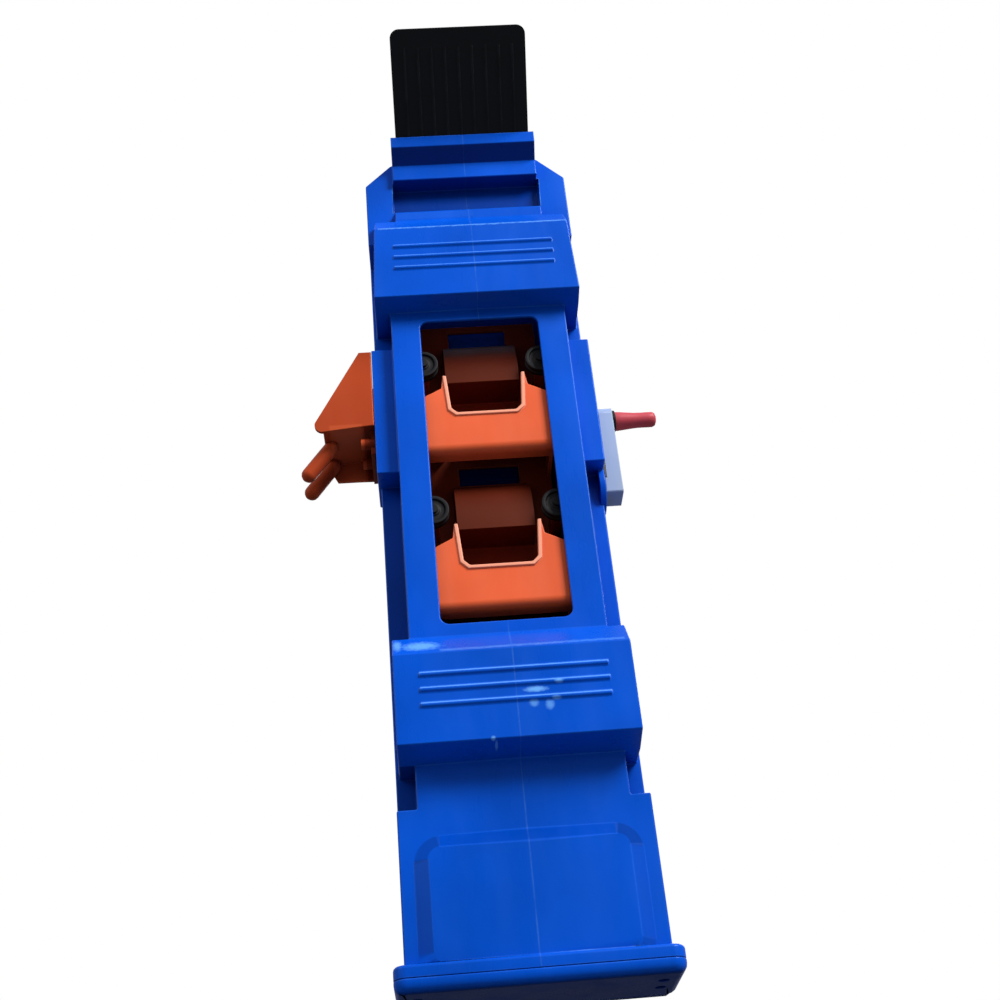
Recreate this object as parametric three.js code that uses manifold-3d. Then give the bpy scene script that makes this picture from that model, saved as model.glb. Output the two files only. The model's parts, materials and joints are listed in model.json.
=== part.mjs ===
import * as THREE from 'three';
import { mergeVertices } from 'three/addons/utils/BufferGeometryUtils.js';
import Module from 'manifold-3d';

// A toy garage lift tower. Millimetres, +Z up, front towards -Y, crank on +X.
// The origin is under the middle of the base.
const wasm = await Module();
wasm.setup();

// Clearances that every fit uses
const fit = 0.3;
const runGap = 0.8;
const cutOver = 1;
const weld = 0.5;

// Toy car that the lift is sized for, and its room on the way out
const carWidth = 30;
const carHeight = 26;
const laneRoom = 3;
const headRoom = 11;

// Casing, half the trunk's width and how far each other form lies inside or outside it
const wall = 2.6;
const trunkHalf = 77.5;
const blockInset = 2.5;
const upBlockTaper = 2.5;
const flangeReach = 6.5;
const frameInset = 13.5;
const notchInset = 12.5;
const corniceInset = 21.5;
const bossProud = 2;

// Casing, how far each front face lies behind the front of the blocks
const frameSetback = 16;
const panelSetback = 22;
const raisedSetback = 16;
const flangeSetback = 13;
const postSetback = 18;
const bossSetback = 26;
const stepSetback = 12;
const recessSetback = 26;
const shoulderSetback = 46;

// Casing, heights stacked from the ground
const baseThick = 8;
const flangeThick = 8;
const flangeRadius = 8;
const panelHeight = 93;
const notchHeight = 33;
const lowBlockSlant = 5;
const lowBlockHeight = 60;
const lowBlockSlope = 18;
const frameHeight = 264;
const upBlockSlant = 3;
const upBlockHeight = 65;
const upBlockSlope = 17;
const thirdStepHeight = 9;
const thirdStepSlope = 12;
const recessHeight = 21.5;
const secondStepHeight = 14.3;
const firstStepSlope = 8.7;
const firstStepHeight = 10.8;
const rimDrop = 8.3;
const postTopDrop = 4.5;
const postCornerDrop = 20.5;
const postCornerRun = 20;

// Window in the front
const windowInset = 21;
const windowMargin = 9;
const windowRadius = 6;

// Raised field on the lower panel
const fieldInset = 8.5;
const fieldChamfer = 9;
const fieldTopGap = 17;
const fieldRadius = 8;

// Ribs on the front of the two blocks
const ribInset = 16;
const ribHigh = 4;
const ribProud = 1.3;
const ribPitch = 10.2;
const ribCount = 3;
const ribsLowShare = 0.38;
const ribsLowShareUpper = 0.37;

// Lift carriage
const trayLap = 1.5;
const trayWall = 2.5;
const trayGap = 1.9;
const trayLift = 12;
const kerbHigh = 3;
const skirtHeight = 29.5;
const lipDepth = 14;
const cheekRise = 15;
const shoulderRise = 22;
const shoulderInset = 13.5;
const notchIn = 4;
const notchDraft = 2.2;
const notchChamfer = 4;
const rimWidth = 2.5;
const notchPostRise = 32;
const notchPostDepth = 5.5;
const rimProud = 1.2;
const backPlateThick = 2.5;
const backPlateTopRise = 108;
const slotInset = 5.5;
const slotRise = 87.5;
const slotHeight = 15;
const hoodRise = 35.5;
const hoodDepth = 28;
const hoodHeight = 48;
const trayBossRadius = 3.6;
const trayBossDrop = 8;
const trayBossInset = 11.5;
const trayBossLength = 11;
const liftDown = 94;

// Guide rollers and rails
const rollerRadius = 11;
const rollerWidth = 8;
const rollerRise = 47;
const rollerSetIn = 3.5;
const rollerPinRadius = 1.8;
const rollerPinHeadRadius = 3.4;
const rollerPinHeadThick = 1.4;
const rollerPinSeat = 14;
const armHalf = 4;
const armRise = 5;
const railSpace = 9.5;
const railThick = 2.5;
const railLowDrop = 12;
const railHighRise = 46;
const railFoot = 6;

// Rack and pinion drive
const toothModule = 1.5;
const pinionTeeth = 16;
const pressureAngle = 20 * Math.PI / 180;
const addendumShare = 0.9;
const dedendumShare = 1.25;
const backlash = 0.3;
const rackWidth = 6;
const rackBack = 8;
const rackSpacer = 2.4;
const pinionWidth = 5;
const axleBehindExit = 25.6;
const axleBelowFloor = 52;
const axleRadius = 3;
const axleFlat = 0.8;
const bushWall = 2.7;
const bushFlange = 2.2;
const bushFlangeThick = 1.4;
const hubRadius = 18;
const clipRadius = 6;
const clipThick = 1;
const clipGroove = 0.7;

// Crank
const crankReach = 59.5;
const crankWidth = 21;
const crankThick = 12;
const crankRelief = 1.7;
const crankFoot = 12;
const crankHeadRadius = 8;
const crankFootRadius = 2;
const crankEndLow = 6.8;
const crankEndHigh = 8.5;
const crankSeat = 7.4;
const gripLength = 30;
const gripRootRadius = 7.2;
const gripTipRadius = 5.6;
const gripPinRadius = 2;
const gripPinSeat = 6;
const gripPinShort = 7;
const collarRadius = 8.2;
const collarThick = 2.2;

// Exit chute on the left
const exitFront = 3;
const exitLength = 39;
const chuteWall = 2.6;
const chuteReach = 42;
const chuteSetIn = 2;
const chuteRise = 62;
const chuteBackDrop = 20;
const chuteBackReach = 29;
const chuteTopRun = 9;
const chuteFall = 3;
const chuteNose = 6;
const apronDrop = 22;
const apronThick = 3.2;
const apronSetback = 8;
const fingerRadius = 5.5;
const fingerIn = 4;
const fingerOut = 11.7;
const fingerDrop = 21;
const fingerFirst = 18;
const fingerPitch = 24;
const fingerCount = 2;

// Side bosses that frame the chute
const bossDrop = 43;
const bossHeight = 106;

// Flap on top
const flapInset = 4;
const flapLength = 89;
const flapThick = 2.6;
const flapSkirt = 2;
const flapBead = 2.4;
const flapRibProud = 0.5;
const flapRibWide = 1.2;
const flapRibCount = 9;
const flapRadius = 7;
const flapLean = 50 * Math.PI / 180;
const flapPinRadius = 1.5;
const flapBarrel = 3.2;
const flapPinSetback = 8;
const lugHalf = 4;
const lugThick = 3;
const hatchInset = 5;

// Back panel, and the room between it and the lift's back plate
const panelThick = 3;
const backRoom = 8.5;
const panelRib = 1.6;
const panelRibWide = 4;
const panelRibCount = 6;

// Screws and the posts that they bite in
const screwRadius = 1.5;
const screwHead = 3;
const screwHeadThick = 1.8;
const screwLength = 10;
const screwSlot = 0.7;
const screwSlotDeep = 0.9;
const postRadius = 4;
const postLength = 18;
const backScrewLowRise = 36;
const backScrewFrameRise = 15;
const backScrewBlockDrop = 62;
const backScrewTopRise = 38;
const baseScrewInset = 12;
const baseScrewSpread = 17;

// Facets
const fine = 24;
const middle = 16;
const coarse = 10;
const cornerSteps = 4;

// Widths that follow, each half of a form that is centred on the middle plane
const blockHalf = trunkHalf - blockInset;
const upBlockTopHalf = blockHalf - upBlockTaper;
const flangeHalf = trunkHalf + flangeReach;
const frameHalf = trunkHalf - frameInset;
const notchHalf = trunkHalf - notchInset;
const corniceHalf = trunkHalf - corniceInset;
const bossHalf = trunkHalf + bossProud;
const windowHalf = frameHalf - windowInset;
const fieldHalf = trunkHalf - fieldInset;
const ribHalf = blockHalf - ribInset;
const hatchHalf = corniceHalf - hatchInset;
const flapHalf = corniceHalf - flapInset;
const trayHalf = windowHalf + trayLap;
const shoulderHalf = trayHalf - shoulderInset;
const notchTopHalf = shoulderHalf - notchIn;
const notchLowHalf = notchTopHalf - notchDraft;
const hoodHalf = notchTopHalf;
const slotHalf = hoodHalf - slotInset;
const trayBossAcross = trayHalf - trayBossInset;
const railInner = trayHalf + railSpace;

// The line of the screw posts inside the casing's side walls
const postX = trunkHalf - wall - postRadius + weld;

// The depth of the casing is that of the side bosses' setback, the car's lane, the lift's
// back plate with its room, and the back panel
const laneDepth = carWidth + laneRoom;
const towerDepth = bossSetback + exitFront + laneDepth + backPlateThick + backRoom + panelThick;

// Depth levels that follow
const blockFront = -towerDepth / 2;
const backOuter = towerDepth / 2;
const backFace = backOuter - panelThick;
const frameFront = blockFront + frameSetback;
const panelFront = blockFront + panelSetback;
const raisedFront = blockFront + raisedSetback;
const flangeFront = blockFront + flangeSetback;
const postFront = blockFront + postSetback;
const bossFront = blockFront + bossSetback;
const stepFront = blockFront + stepSetback;
const recessBack = blockFront + recessSetback;
const shoulderFront = blockFront + shoulderSetback;

// The car's lane runs from the side bosses' front to the back plate
const exitY = bossFront + exitFront;
const exitBack = exitY + exitLength;
const exitRise = carHeight + headRoom;

// Height levels that follow
const flangeTop = baseThick + flangeThick;
const panelTop = flangeTop + panelHeight;
const lowBlockBottom = panelTop + notchHeight;
const lowBlockTop = lowBlockBottom + lowBlockHeight;
const frameBottom = lowBlockTop + lowBlockSlope;
const frameTop = frameBottom + frameHeight;
const upBlockBottom = frameTop + upBlockSlant;
const upBlockTop = upBlockBottom + upBlockHeight;
const thirdStepBottom = upBlockTop + upBlockSlope;
const thirdStepTop = thirdStepBottom + thirdStepHeight;
const recessLow = thirdStepTop + thirdStepSlope;
const recessTop = recessLow + recessHeight;
const secondStepTop = recessTop + secondStepHeight;
const firstStepBottom = secondStepTop + firstStepSlope;
const towerTop = firstStepBottom + firstStepHeight;
const rimTop = towerTop - rimDrop;
const postTop = rimTop - postTopDrop;
const windowBottom = frameBottom + windowMargin;
const windowTop = frameTop - windowMargin;
const railLow = lowBlockTop - railLowDrop;
const railHigh = upBlockTop + railHighRise;
const backScrewHeights = [
  flangeTop + backScrewLowRise,
  frameBottom + backScrewFrameRise,
  upBlockTop - backScrewBlockDrop,
  upBlockTop + backScrewTopRise,
];

// Lift places that follow
const deckPitch = (windowTop - windowBottom) / 2;
const liftUp = deckPitch;
const trayFront = frameFront + wall + trayGap;
const binFront = trayFront + trayWall;
const binBack = exitY + laneDepth;
const lowFloor = windowBottom + trayLift + skirtHeight + trayWall;
const highFloor = lowFloor + deckPitch;
const trayFloors = [lowFloor, highFloor];
const rollerX = railInner - fit - rollerRadius;
const rollerFront = trayFront + rollerSetIn;
const rollerBack = rollerFront + rollerWidth;
const armFront = rollerBack + fit;
const backPlateFront = binBack;
const backPlateBack = backPlateFront + backPlateThick;
const axleY = exitY + axleBehindExit;
const axleZ = highFloor - axleBelowFloor;
const pinionRadius = toothModule * pinionTeeth / 2;
const toothPitch = Math.PI * toothModule;
const rackPitchY = axleY - pinionRadius;
const rackX = trayHalf + rackSpacer + fit;
const bushRadius = axleRadius + bushWall;
const hubFace = bossHalf;
const crankX = hubFace + runGap;
const crankFace = crankX + crankThick;
const gripZ = axleZ + crankReach;
const bossBottom = highFloor - bossDrop;
const bossTop = bossBottom + bossHeight;
const chuteX = -bossHalf - fit;
const chuteFloor = highFloor - fit;
const chuteBack = backOuter - chuteSetIn;
const flapPinY = blockFront + flapPinSetback;
const flapPinZ = rimTop + flapBarrel + fit + fit;

// Solids from three.js geometry
function solid(geometry) {
  const bare = geometry.clone();
  bare.deleteAttribute('normal');
  bare.deleteAttribute('uv');
  const merged = mergeVertices(bare);
  const vertProperties = new Float32Array(merged.attributes.position.array);
  const triVerts = new Uint32Array(merged.index.array);
  return new wasm.Manifold(new wasm.Mesh({ numProp: 3, vertProperties, triVerts }));
}

function geometryOf(body) {
  const mesh = body.getMesh();
  const geometry = new THREE.BufferGeometry();
  const positions = new Float32Array(mesh.vertProperties);
  geometry.setAttribute('position', new THREE.BufferAttribute(positions, 3));
  geometry.setIndex(new THREE.BufferAttribute(new Uint32Array(mesh.triVerts), 1));
  geometry.computeVertexNormals();
  return geometry;
}

function box(x0, x1, y0, y1, z0, z1) {
  const geometry = new THREE.BoxGeometry(x1 - x0, y1 - y0, z1 - z0);
  geometry.translate((x0 + x1) / 2, (y0 + y1) / 2, (z0 + z1) / 2);
  return solid(geometry);
}

// A box that is as wide on the left as on the right
function slab(half, y0, y1, z0, z1) {
  return box(-half, half, y0, y1, z0, z1);
}

function extruded(shape, depth) {
  return new THREE.ExtrudeGeometry(shape, { depth, bevelEnabled: false, curveSegments: cornerSteps });
}

function outline(points) {
  return new THREE.Shape(points.map((point) => new THREE.Vector2(point[0], point[1])));
}

function roundedOutline(u0, u1, v0, v1, radius) {
  const shape = new THREE.Shape();
  const quarter = Math.PI / 2;
  shape.absarc(u1 - radius, v0 + radius, radius, -quarter, 0, false);
  shape.absarc(u1 - radius, v1 - radius, radius, 0, quarter, false);
  shape.absarc(u0 + radius, v1 - radius, radius, quarter, 2 * quarter, false);
  shape.absarc(u0 + radius, v0 + radius, radius, 2 * quarter, 3 * quarter, false);
  shape.closePath();
  return shape;
}

// The outline lies in Y and Z and runs along X
function alongX(shape, x0, x1) {
  const geometry = extruded(shape, x1 - x0);
  const turn = new THREE.Matrix4().makeBasis(
    new THREE.Vector3(0, 1, 0),
    new THREE.Vector3(0, 0, 1),
    new THREE.Vector3(1, 0, 0),
  );
  geometry.applyMatrix4(turn);
  geometry.translate(x0, 0, 0);
  return solid(geometry);
}

// The outline lies in X and Z and runs along Y
function alongY(shape, y0, y1) {
  const geometry = extruded(shape, y1 - y0);
  geometry.rotateX(Math.PI / 2);
  geometry.translate(0, y1, 0);
  return solid(geometry);
}

function alongZ(shape, z0, z1) {
  const geometry = extruded(shape, z1 - z0);
  geometry.translate(0, 0, z0);
  return solid(geometry);
}

function rodX(radius, x0, x1, y, z, facets) {
  const geometry = new THREE.CylinderGeometry(radius, radius, x1 - x0, facets);
  geometry.rotateZ(-Math.PI / 2);
  geometry.translate((x0 + x1) / 2, y, z);
  return solid(geometry);
}

function rodY(radius, y0, y1, x, z, facets) {
  const geometry = new THREE.CylinderGeometry(radius, radius, y1 - y0, facets);
  geometry.translate(x, (y0 + y1) / 2, z);
  return solid(geometry);
}

function rodZ(radius, z0, z1, x, y, facets) {
  const geometry = new THREE.CylinderGeometry(radius, radius, z1 - z0, facets);
  geometry.rotateX(Math.PI / 2);
  geometry.translate(x, y, (z0 + z1) / 2);
  return solid(geometry);
}

function joined(bodies) {
  return bodies.reduce((whole, body) => whole.add(body));
}

// Rings turned about X, from profile points of radius and X
function turnedX(points, y, z, facets) {
  const profile = points.map((point) => new THREE.Vector2(point[0], point[1]));
  const geometry = new THREE.LatheGeometry(profile, facets);
  geometry.rotateZ(-Math.PI / 2);
  geometry.translate(0, y, z);
  return solid(geometry);
}

// The cornice from the block's slope up to the rim of the hatch
function corniceOutline(inset) {
  const back = backFace + cutOver * Math.sign(inset);
  return outline([
    [back, upBlockTop],
    [back, rimTop - inset],
    [stepFront + inset, rimTop - inset],
    [stepFront + inset, upBlockTop],
  ]);
}

function lowBlockOutline(inset) {
  return outline([
    [blockFront + inset, lowBlockBottom + inset],
    [blockFront + inset, lowBlockTop - inset / 2],
    [frameFront + inset, frameBottom - inset / 2],
    [shoulderFront + inset, frameBottom - inset / 2],
    [shoulderFront + inset, lowBlockBottom - lowBlockSlant + inset],
    [panelFront + inset, lowBlockBottom - lowBlockSlant + inset],
  ]);
}

function upBlockOutline(inset) {
  return outline([
    [blockFront + inset, upBlockBottom + inset],
    [blockFront + inset, upBlockTop - inset / 2],
    [stepFront + inset, thirdStepBottom - inset / 2],
    [shoulderFront + inset, thirdStepBottom - inset / 2],
    [shoulderFront + inset, frameTop + inset],
    [frameFront + inset, frameTop + inset],
  ]);
}

function postOutline(inset) {
  const side = trunkHalf - inset;
  const low = upBlockTop + inset;
  return outline([
    [-side, low],
    [side, low],
    [side, postTop - postCornerDrop - inset / 2],
    [side - postCornerRun, postTop - inset],
    [-side + postCornerRun, postTop - inset],
    [-side, postTop - postCornerDrop - inset / 2],
  ]);
}

// The upper block narrows a little towards its top
function taperedBlock(inset) {
  const half = blockHalf - inset;
  const lost = (blockHalf - upBlockTopHalf) / (upBlockTop - upBlockBottom);
  const geometry = geometryOf(alongX(upBlockOutline(inset), -half, half));
  const position = geometry.attributes.position;
  for (let i = 0; i < position.count; i += 1) {
    const rise = Math.max(0, position.getZ(i) - upBlockBottom);
    const share = 1 - rise * lost / blockHalf;
    position.setX(i, position.getX(i) * share);
  }
  return solid(geometry);
}

// The flange along the base, with rounded corners at the front
function flangeForm(inset, floor, back) {
  const half = flangeHalf - inset;
  const beyond = back + 2 * flangeRadius;
  const shape = roundedOutline(-half, half, flangeFront + inset, beyond, flangeRadius - inset);
  const top = flangeTop - inset;
  return alongZ(shape, floor, top).intersect(slab(flangeHalf, flangeFront, back, floor, top));
}

// Every form of the casing, once as its outside and once, inset by the wall, as its hollow
function casingForms(inset) {
  const back = backFace + cutOver * Math.sign(inset);
  const open = Math.sign(inset) * cutOver;
  const floor = baseThick - open;
  return joined([
    flangeForm(inset, floor, back),
    slab(trunkHalf - inset, panelFront + inset, back, floor, panelTop - inset),
    slab(notchHalf - inset, panelFront + inset, back, panelTop - wall, lowBlockBottom + weld),
    slab(trunkHalf - inset, shoulderFront + inset, back, floor, upBlockTop + inset + weld),
    slab(frameHalf - inset, frameFront + inset, back, lowBlockBottom, upBlockTop),
    slab(bossHalf - inset, bossFront + inset, back, bossBottom + inset, bossTop - inset),
    alongX(lowBlockOutline(inset), -blockHalf + inset, blockHalf - inset),
    taperedBlock(inset),
    alongY(postOutline(inset), postFront + inset, back),
    alongX(corniceOutline(inset), -corniceHalf + inset, corniceHalf - inset),
  ]);
}

// The raised field on the lower panel, with sloped edges
function raisedField(inset) {
  const half = fieldHalf - fieldChamfer - inset;
  const top = panelTop - fieldTopGap - fieldChamfer - inset;
  const shape = roundedOutline(-half, half, flangeTop - cutOver, top, fieldRadius);
  const proud = panelFront - raisedFront;
  const geometry = new THREE.ExtrudeGeometry(shape, {
    depth: wall,
    bevelEnabled: true,
    bevelSegments: 1,
    bevelSize: fieldChamfer,
    bevelThickness: proud,
    curveSegments: cornerSteps,
  });
  geometry.rotateX(Math.PI / 2);
  geometry.translate(0, raisedFront + proud + wall + inset, 0);
  const keep = slab(trunkHalf, raisedFront + inset, panelFront + wall, flangeTop - wall, panelTop);
  return solid(geometry).intersect(keep);
}

// The dark recess under the second step of the cornice
function corniceRecess(grow) {
  return alongX(
    outline([
      [stepFront - cutOver - grow, recessTop + grow],
      [stepFront - cutOver - grow, thirdStepTop - grow],
      [stepFront, thirdStepTop - grow],
      [recessBack + grow, recessLow - grow],
      [recessBack + grow, recessTop + grow],
    ]),
    -corniceHalf - cutOver - grow,
    corniceHalf + cutOver + grow,
  );
}

// The first step of the cornice, whose sloped top the open flap leans on
function flapStop() {
  const away = flapThick / 2 + fit;
  const towards = [-Math.sin(flapLean), Math.cos(flapLean)];
  const off = [-Math.cos(flapLean), -Math.sin(flapLean)];
  const onLine = (y) => {
    const start = [flapPinY + away * off[0], flapPinZ + away * off[1]];
    return start[1] + (y - start[0]) / towards[0] * towards[1];
  };
  const stopBack = blockFront + flapPinSetback / 2;
  return alongX(
    outline([
      [stepFront + weld, secondStepTop],
      [stepFront + weld, rimTop],
      [stopBack, rimTop],
      [stopBack, onLine(stopBack)],
      [blockFront + weld, onLine(blockFront + weld)],
      [blockFront, onLine(blockFront) - weld],
      [blockFront, firstStepBottom],
      [stepFront, secondStepTop],
    ]),
    -corniceHalf,
    corniceHalf,
  );
}

// The lugs hold the flap's pin at both ends
function flapLugs() {
  const top = flapPinZ + flapBarrel;
  const lug = (side) => {
    const inner = side * (corniceHalf - lugThick);
    const outer = side * corniceHalf;
    const ends = [Math.min(inner, outer), Math.max(inner, outer)];
    const block = box(ends[0], ends[1], blockFront + lugHalf, flapPinY + lugHalf, rimTop - weld, top);
    return block.subtract(rodX(flapPinRadius + fit, ends[0] - cutOver, ends[1] + cutOver,
      flapPinY, flapPinZ, middle));
  };
  return lug(-1).add(lug(1));
}

function windowCut() {
  const shape = roundedOutline(-windowHalf, windowHalf, windowBottom, windowTop, windowRadius);
  return alongY(shape, frameFront - cutOver, frameFront + wall + cutOver);
}

// The ribs of one block, whose upper and lower sides slope at 45 degrees
function ribs(bottom, height, lowShare) {
  const bars = [];
  for (let row = 0; row < ribCount; row += 1) {
    const low = bottom + height * lowShare + row * ribPitch;
    const high = low + ribHigh;
    const shape = outline([
      [blockFront + weld, low],
      [blockFront + weld, high],
      [blockFront, high],
      [blockFront - ribProud, high - ribProud],
      [blockFront - ribProud, low + ribProud],
      [blockFront, low],
    ]);
    bars.push(alongX(shape, -ribHalf, ribHalf));
  }
  return joined(bars);
}

// The posts inside the casing that the screws of the back panel and of the base bite in
function screwPosts() {
  const posts = [];
  for (const side of [-1, 1]) {
    for (const z of backScrewHeights) {
      posts.push(rodY(postRadius, backFace - postLength, backFace, side * postX, z, coarse));
    }
    for (const y of baseScrewPlaces()) {
      posts.push(rodZ(postRadius, baseThick, baseThick + postLength, side * postX, y, coarse));
    }
  }
  return joined(posts);
}

function screwHoles() {
  const hole = screwRadius + fit;
  const deep = screwLength + cutOver;
  const holes = [];
  for (const side of [-1, 1]) {
    for (const z of backScrewHeights) {
      holes.push(rodY(hole, backFace - deep, backFace + cutOver, side * postX, z, coarse));
    }
    for (const y of baseScrewPlaces()) {
      holes.push(rodZ(hole, baseThick - cutOver, baseThick + deep, side * postX, y, coarse));
    }
  }
  return joined(holes);
}

function baseScrewPlaces() {
  const front = panelFront + baseScrewInset;
  return [front, front + baseScrewSpread];
}

function casing() {
  const hatch = slab(hatchHalf, stepFront + wall, backFace + cutOver, rimTop - wall - weld, rimTop + cutOver);
  const outside = joined([casingForms(0), raisedField(0)]).subtract(corniceRecess(0));
  const hollow = joined([casingForms(wall), raisedField(wall)]).subtract(corniceRecess(wall));
  return outside
    .subtract(hollow)
    .add(flapStop())
    .subtract(hatch)
    .add(flapLugs())
    .subtract(windowCut())
    .add(ribs(lowBlockBottom, lowBlockHeight, ribsLowShare))
    .add(ribs(upBlockBottom, upBlockHeight, ribsLowShareUpper))
    .add(screwPosts())
    .subtract(screwHoles());
}

const wholeCasing = casing();

function halfCasing(side) {
  const seam = fit / 2;
  const far = 2 * flangeHalf;
  const ends = side < 0 ? [-far, -seam] : [seam, far];
  const keep = box(ends[0], ends[1], -towerDepth, towerDepth, 0, 2 * towerTop);
  return wholeCasing.intersect(keep);
}

function chuteScrewPlaces() {
  const low = exitY + chuteWall + postRadius;
  return [low, exitBack - chuteWall - postRadius];
}

function chuteScrewZ() {
  return highFloor - apronDrop / 2 - screwRadius;
}

function leftShell() {
  const opening = box(-bossHalf - cutOver, -bossHalf + wall + cutOver, exitY, exitBack,
    highFloor - chuteWall - fit - fit, highFloor + exitRise);
  const holes = chuteScrewPlaces().map((y) => rodX(screwRadius + fit, -bossHalf - cutOver,
    -bossHalf + wall + cutOver, y, chuteScrewZ(), coarse));
  return halfCasing(-1).subtract(opening).subtract(joined(holes));
}

function rightShell() {
  const hub = rodX(hubRadius, trunkHalf - wall, hubFace, axleY, axleZ, fine);
  const hole = rodX(bushRadius + fit, trunkHalf - wall - cutOver, hubFace + cutOver, axleY, axleZ, middle);
  return halfCasing(1).add(hub).subtract(hole);
}

// The panel's outline follows the casing's back
function backPanel() {
  const low = baseThick;
  const plate = joined([
    slab(trunkHalf, backFace, backOuter, low, upBlockTop),
    slab(flangeHalf, backFace, backOuter, low, flangeTop),
    alongY(postOutline(0), backFace, backOuter),
    slab(corniceHalf, backFace, backOuter, upBlockTop, rimTop),
  ]);
  const ribs = [];
  const span = (upBlockTop - flangeTop) / panelRibCount;
  for (let row = 1; row <= panelRibCount; row += 1) {
    const z = flangeTop + row * span;
    ribs.push(slab(railInner - runGap, backFace - panelRib, backFace + weld, z - panelRibWide, z));
  }
  const holes = [];
  for (const side of [-1, 1]) {
    for (const z of backScrewHeights) {
      const x = side * postX;
      holes.push(rodY(screwRadius + fit, backFace - cutOver, backOuter + cutOver, x, z, coarse));
      holes.push(rodY(screwHead + fit, backOuter - screwHeadThick, backOuter + cutOver, x, z, coarse));
    }
  }
  return plate.add(joined(ribs)).subtract(joined(holes));
}

function basePlate() {
  const shape = roundedOutline(-flangeHalf, flangeHalf, flangeFront, backOuter, flangeRadius);
  const holes = [];
  for (const side of [-1, 1]) {
    for (const y of baseScrewPlaces()) {
      holes.push(rodZ(screwRadius + fit, -cutOver, baseThick + cutOver, side * postX, y, coarse));
      holes.push(rodZ(screwHead + fit, -cutOver, baseThick - wall, side * postX, y, coarse));
    }
  }
  return alongZ(shape, 0, baseThick).subtract(joined(holes));
}

// The rails that the rollers run on stand between the window frame and the back panel
function guideRail(side) {
  const inner = side * railInner;
  const outer = side * (railInner + railThick);
  const ends = [Math.min(inner, outer), Math.max(inner, outer)];
  const back = backFace - fit;
  const upFront = postFront + wall + fit;
  const behindRecess = recessBack + wall + fit;
  const shape = outline([
    [frameFront + wall + fit, railLow],
    [back, railLow],
    [back, railHigh],
    [behindRecess, railHigh],
    [behindRecess, thirdStepTop],
    [upFront, thirdStepTop],
    [upFront, upBlockTop - wall - fit],
    [frameFront + wall + fit, upBlockTop - wall - fit],
  ]);
  const plate = alongX(shape, ends[0], ends[1]);
  const foot = outer + side * railFoot;
  const footEnds = [Math.min(inner, foot), Math.max(inner, foot)];
  const flange = box(footEnds[0], footEnds[1], back - railThick, back, railLow, railHigh);
  return plate.add(flange);
}

function leftRail() {
  const cut = box(-railInner - railThick - cutOver, -railInner + cutOver, exitY, exitBack,
    highFloor - chuteWall - fit - fit, highFloor + exitRise);
  return guideRail(-1).subtract(cut);
}

function rightRail() {
  const hole = rodX(bushRadius + fit, railInner - cutOver, railInner + railThick + cutOver,
    axleY, axleZ, middle);
  return guideRail(1).subtract(hole);
}

// The outline of the notch in the front of a tray, grown outwards for its rim
function notchOutline(floor, grow, top) {
  const corner = notchChamfer - grow / 2;
  return outline([
    [-notchTopHalf - grow, top],
    [-notchLowHalf - grow, floor + corner],
    [-notchLowHalf - grow / 2 + notchChamfer, floor - grow],
    [notchLowHalf + grow / 2 - notchChamfer, floor - grow],
    [notchLowHalf + grow, floor + corner],
    [notchTopHalf + grow, top],
  ]);
}

// The front of a tray rises from its cheeks over sloped shoulders to two posts beside the notch
function trayFrontOutline(low, floor) {
  const postHalf = notchTopHalf + rimWidth;
  return outline([
    [-trayHalf, low],
    [trayHalf, low],
    [trayHalf, floor + cheekRise],
    [shoulderHalf, floor + shoulderRise],
    [postHalf, floor + notchPostRise],
    [-postHalf, floor + notchPostRise],
    [-shoulderHalf, floor + shoulderRise],
    [-trayHalf, floor + cheekRise],
  ]);
}

function carTray(floor) {
  const low = floor - trayWall - skirtHeight;
  const leftEdge = -railInner + runGap;
  const rimFront = trayFront - rimProud;
  const rimTopZ = floor + notchPostRise;
  const front = alongY(trayFrontOutline(low, floor), trayFront, binFront);
  const rim = alongY(notchOutline(floor, rimWidth, rimTopZ), rimFront, rimFront + notchPostDepth);
  const notch = alongY(notchOutline(floor, 0, rimTopZ + cutOver), rimFront - cutOver, exitY);
  const lip = slab(trayHalf, trayFront, trayFront + lipDepth, low, low + trayWall);
  const plate = box(leftEdge, trayHalf, trayFront, binBack, floor - trayWall, floor);
  const gussets = [-1, 1].map((side) => {
    const inner = side * (trayHalf - trayWall);
    const outer = side * trayHalf;
    return box(Math.min(inner, outer), Math.max(inner, outer), trayFront, binBack, low, floor);
  });
  const bosses = [-1, 1].map((side) => trayBoss(floor, side));
  const kerb = slab(trayHalf, binFront, exitY - fit, floor, floor + kerbHigh);
  const endCheek = box(trayHalf - trayWall, trayHalf, trayFront, binBack, floor, floor + cheekRise);
  return joined([front, lip, plate, ...gussets, ...bosses, rackSeat(floor), kerb, endCheek, rim])
    .subtract(notch)
    .subtract(traySlots(floor))
    .subtract(joined([-1, 1].map((side) => trayBossHole(floor, side))))
    .subtract(rackSeatHole(floor));
}

// Drain slots in the floor keep the tray light
function traySlots(floor) {
  const slots = [];
  const slotWide = slotHalf / 4;
  for (const place of [-2, -1, 0, 1, 2]) {
    const x = place * 2 * slotWide;
    slots.push(box(x - slotWide / 2, x + slotWide / 2, binFront + lipDepth / 2, binBack - lipDepth / 2,
      floor - trayWall - cutOver, floor + cutOver));
  }
  return joined(slots);
}

function trayBoss(floor, side) {
  const z = floor - trayWall - trayBossDrop;
  const x = side * trayBossAcross;
  const rod = rodY(trayBossRadius, binBack - trayBossLength, binBack, x, z, coarse);
  const web = box(x - trayWall / 2, x + trayWall / 2, binBack - trayBossLength, binBack, z,
    floor - trayWall + weld);
  return rod.add(web);
}

function trayBossHole(floor, side) {
  const z = floor - trayWall - trayBossDrop;
  return rodY(screwRadius + fit, binBack - screwLength, binBack + cutOver, side * trayBossAcross, z, coarse);
}

function rackScrewZ(floor) {
  return floor - trayWall - trayBossDrop;
}

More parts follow.
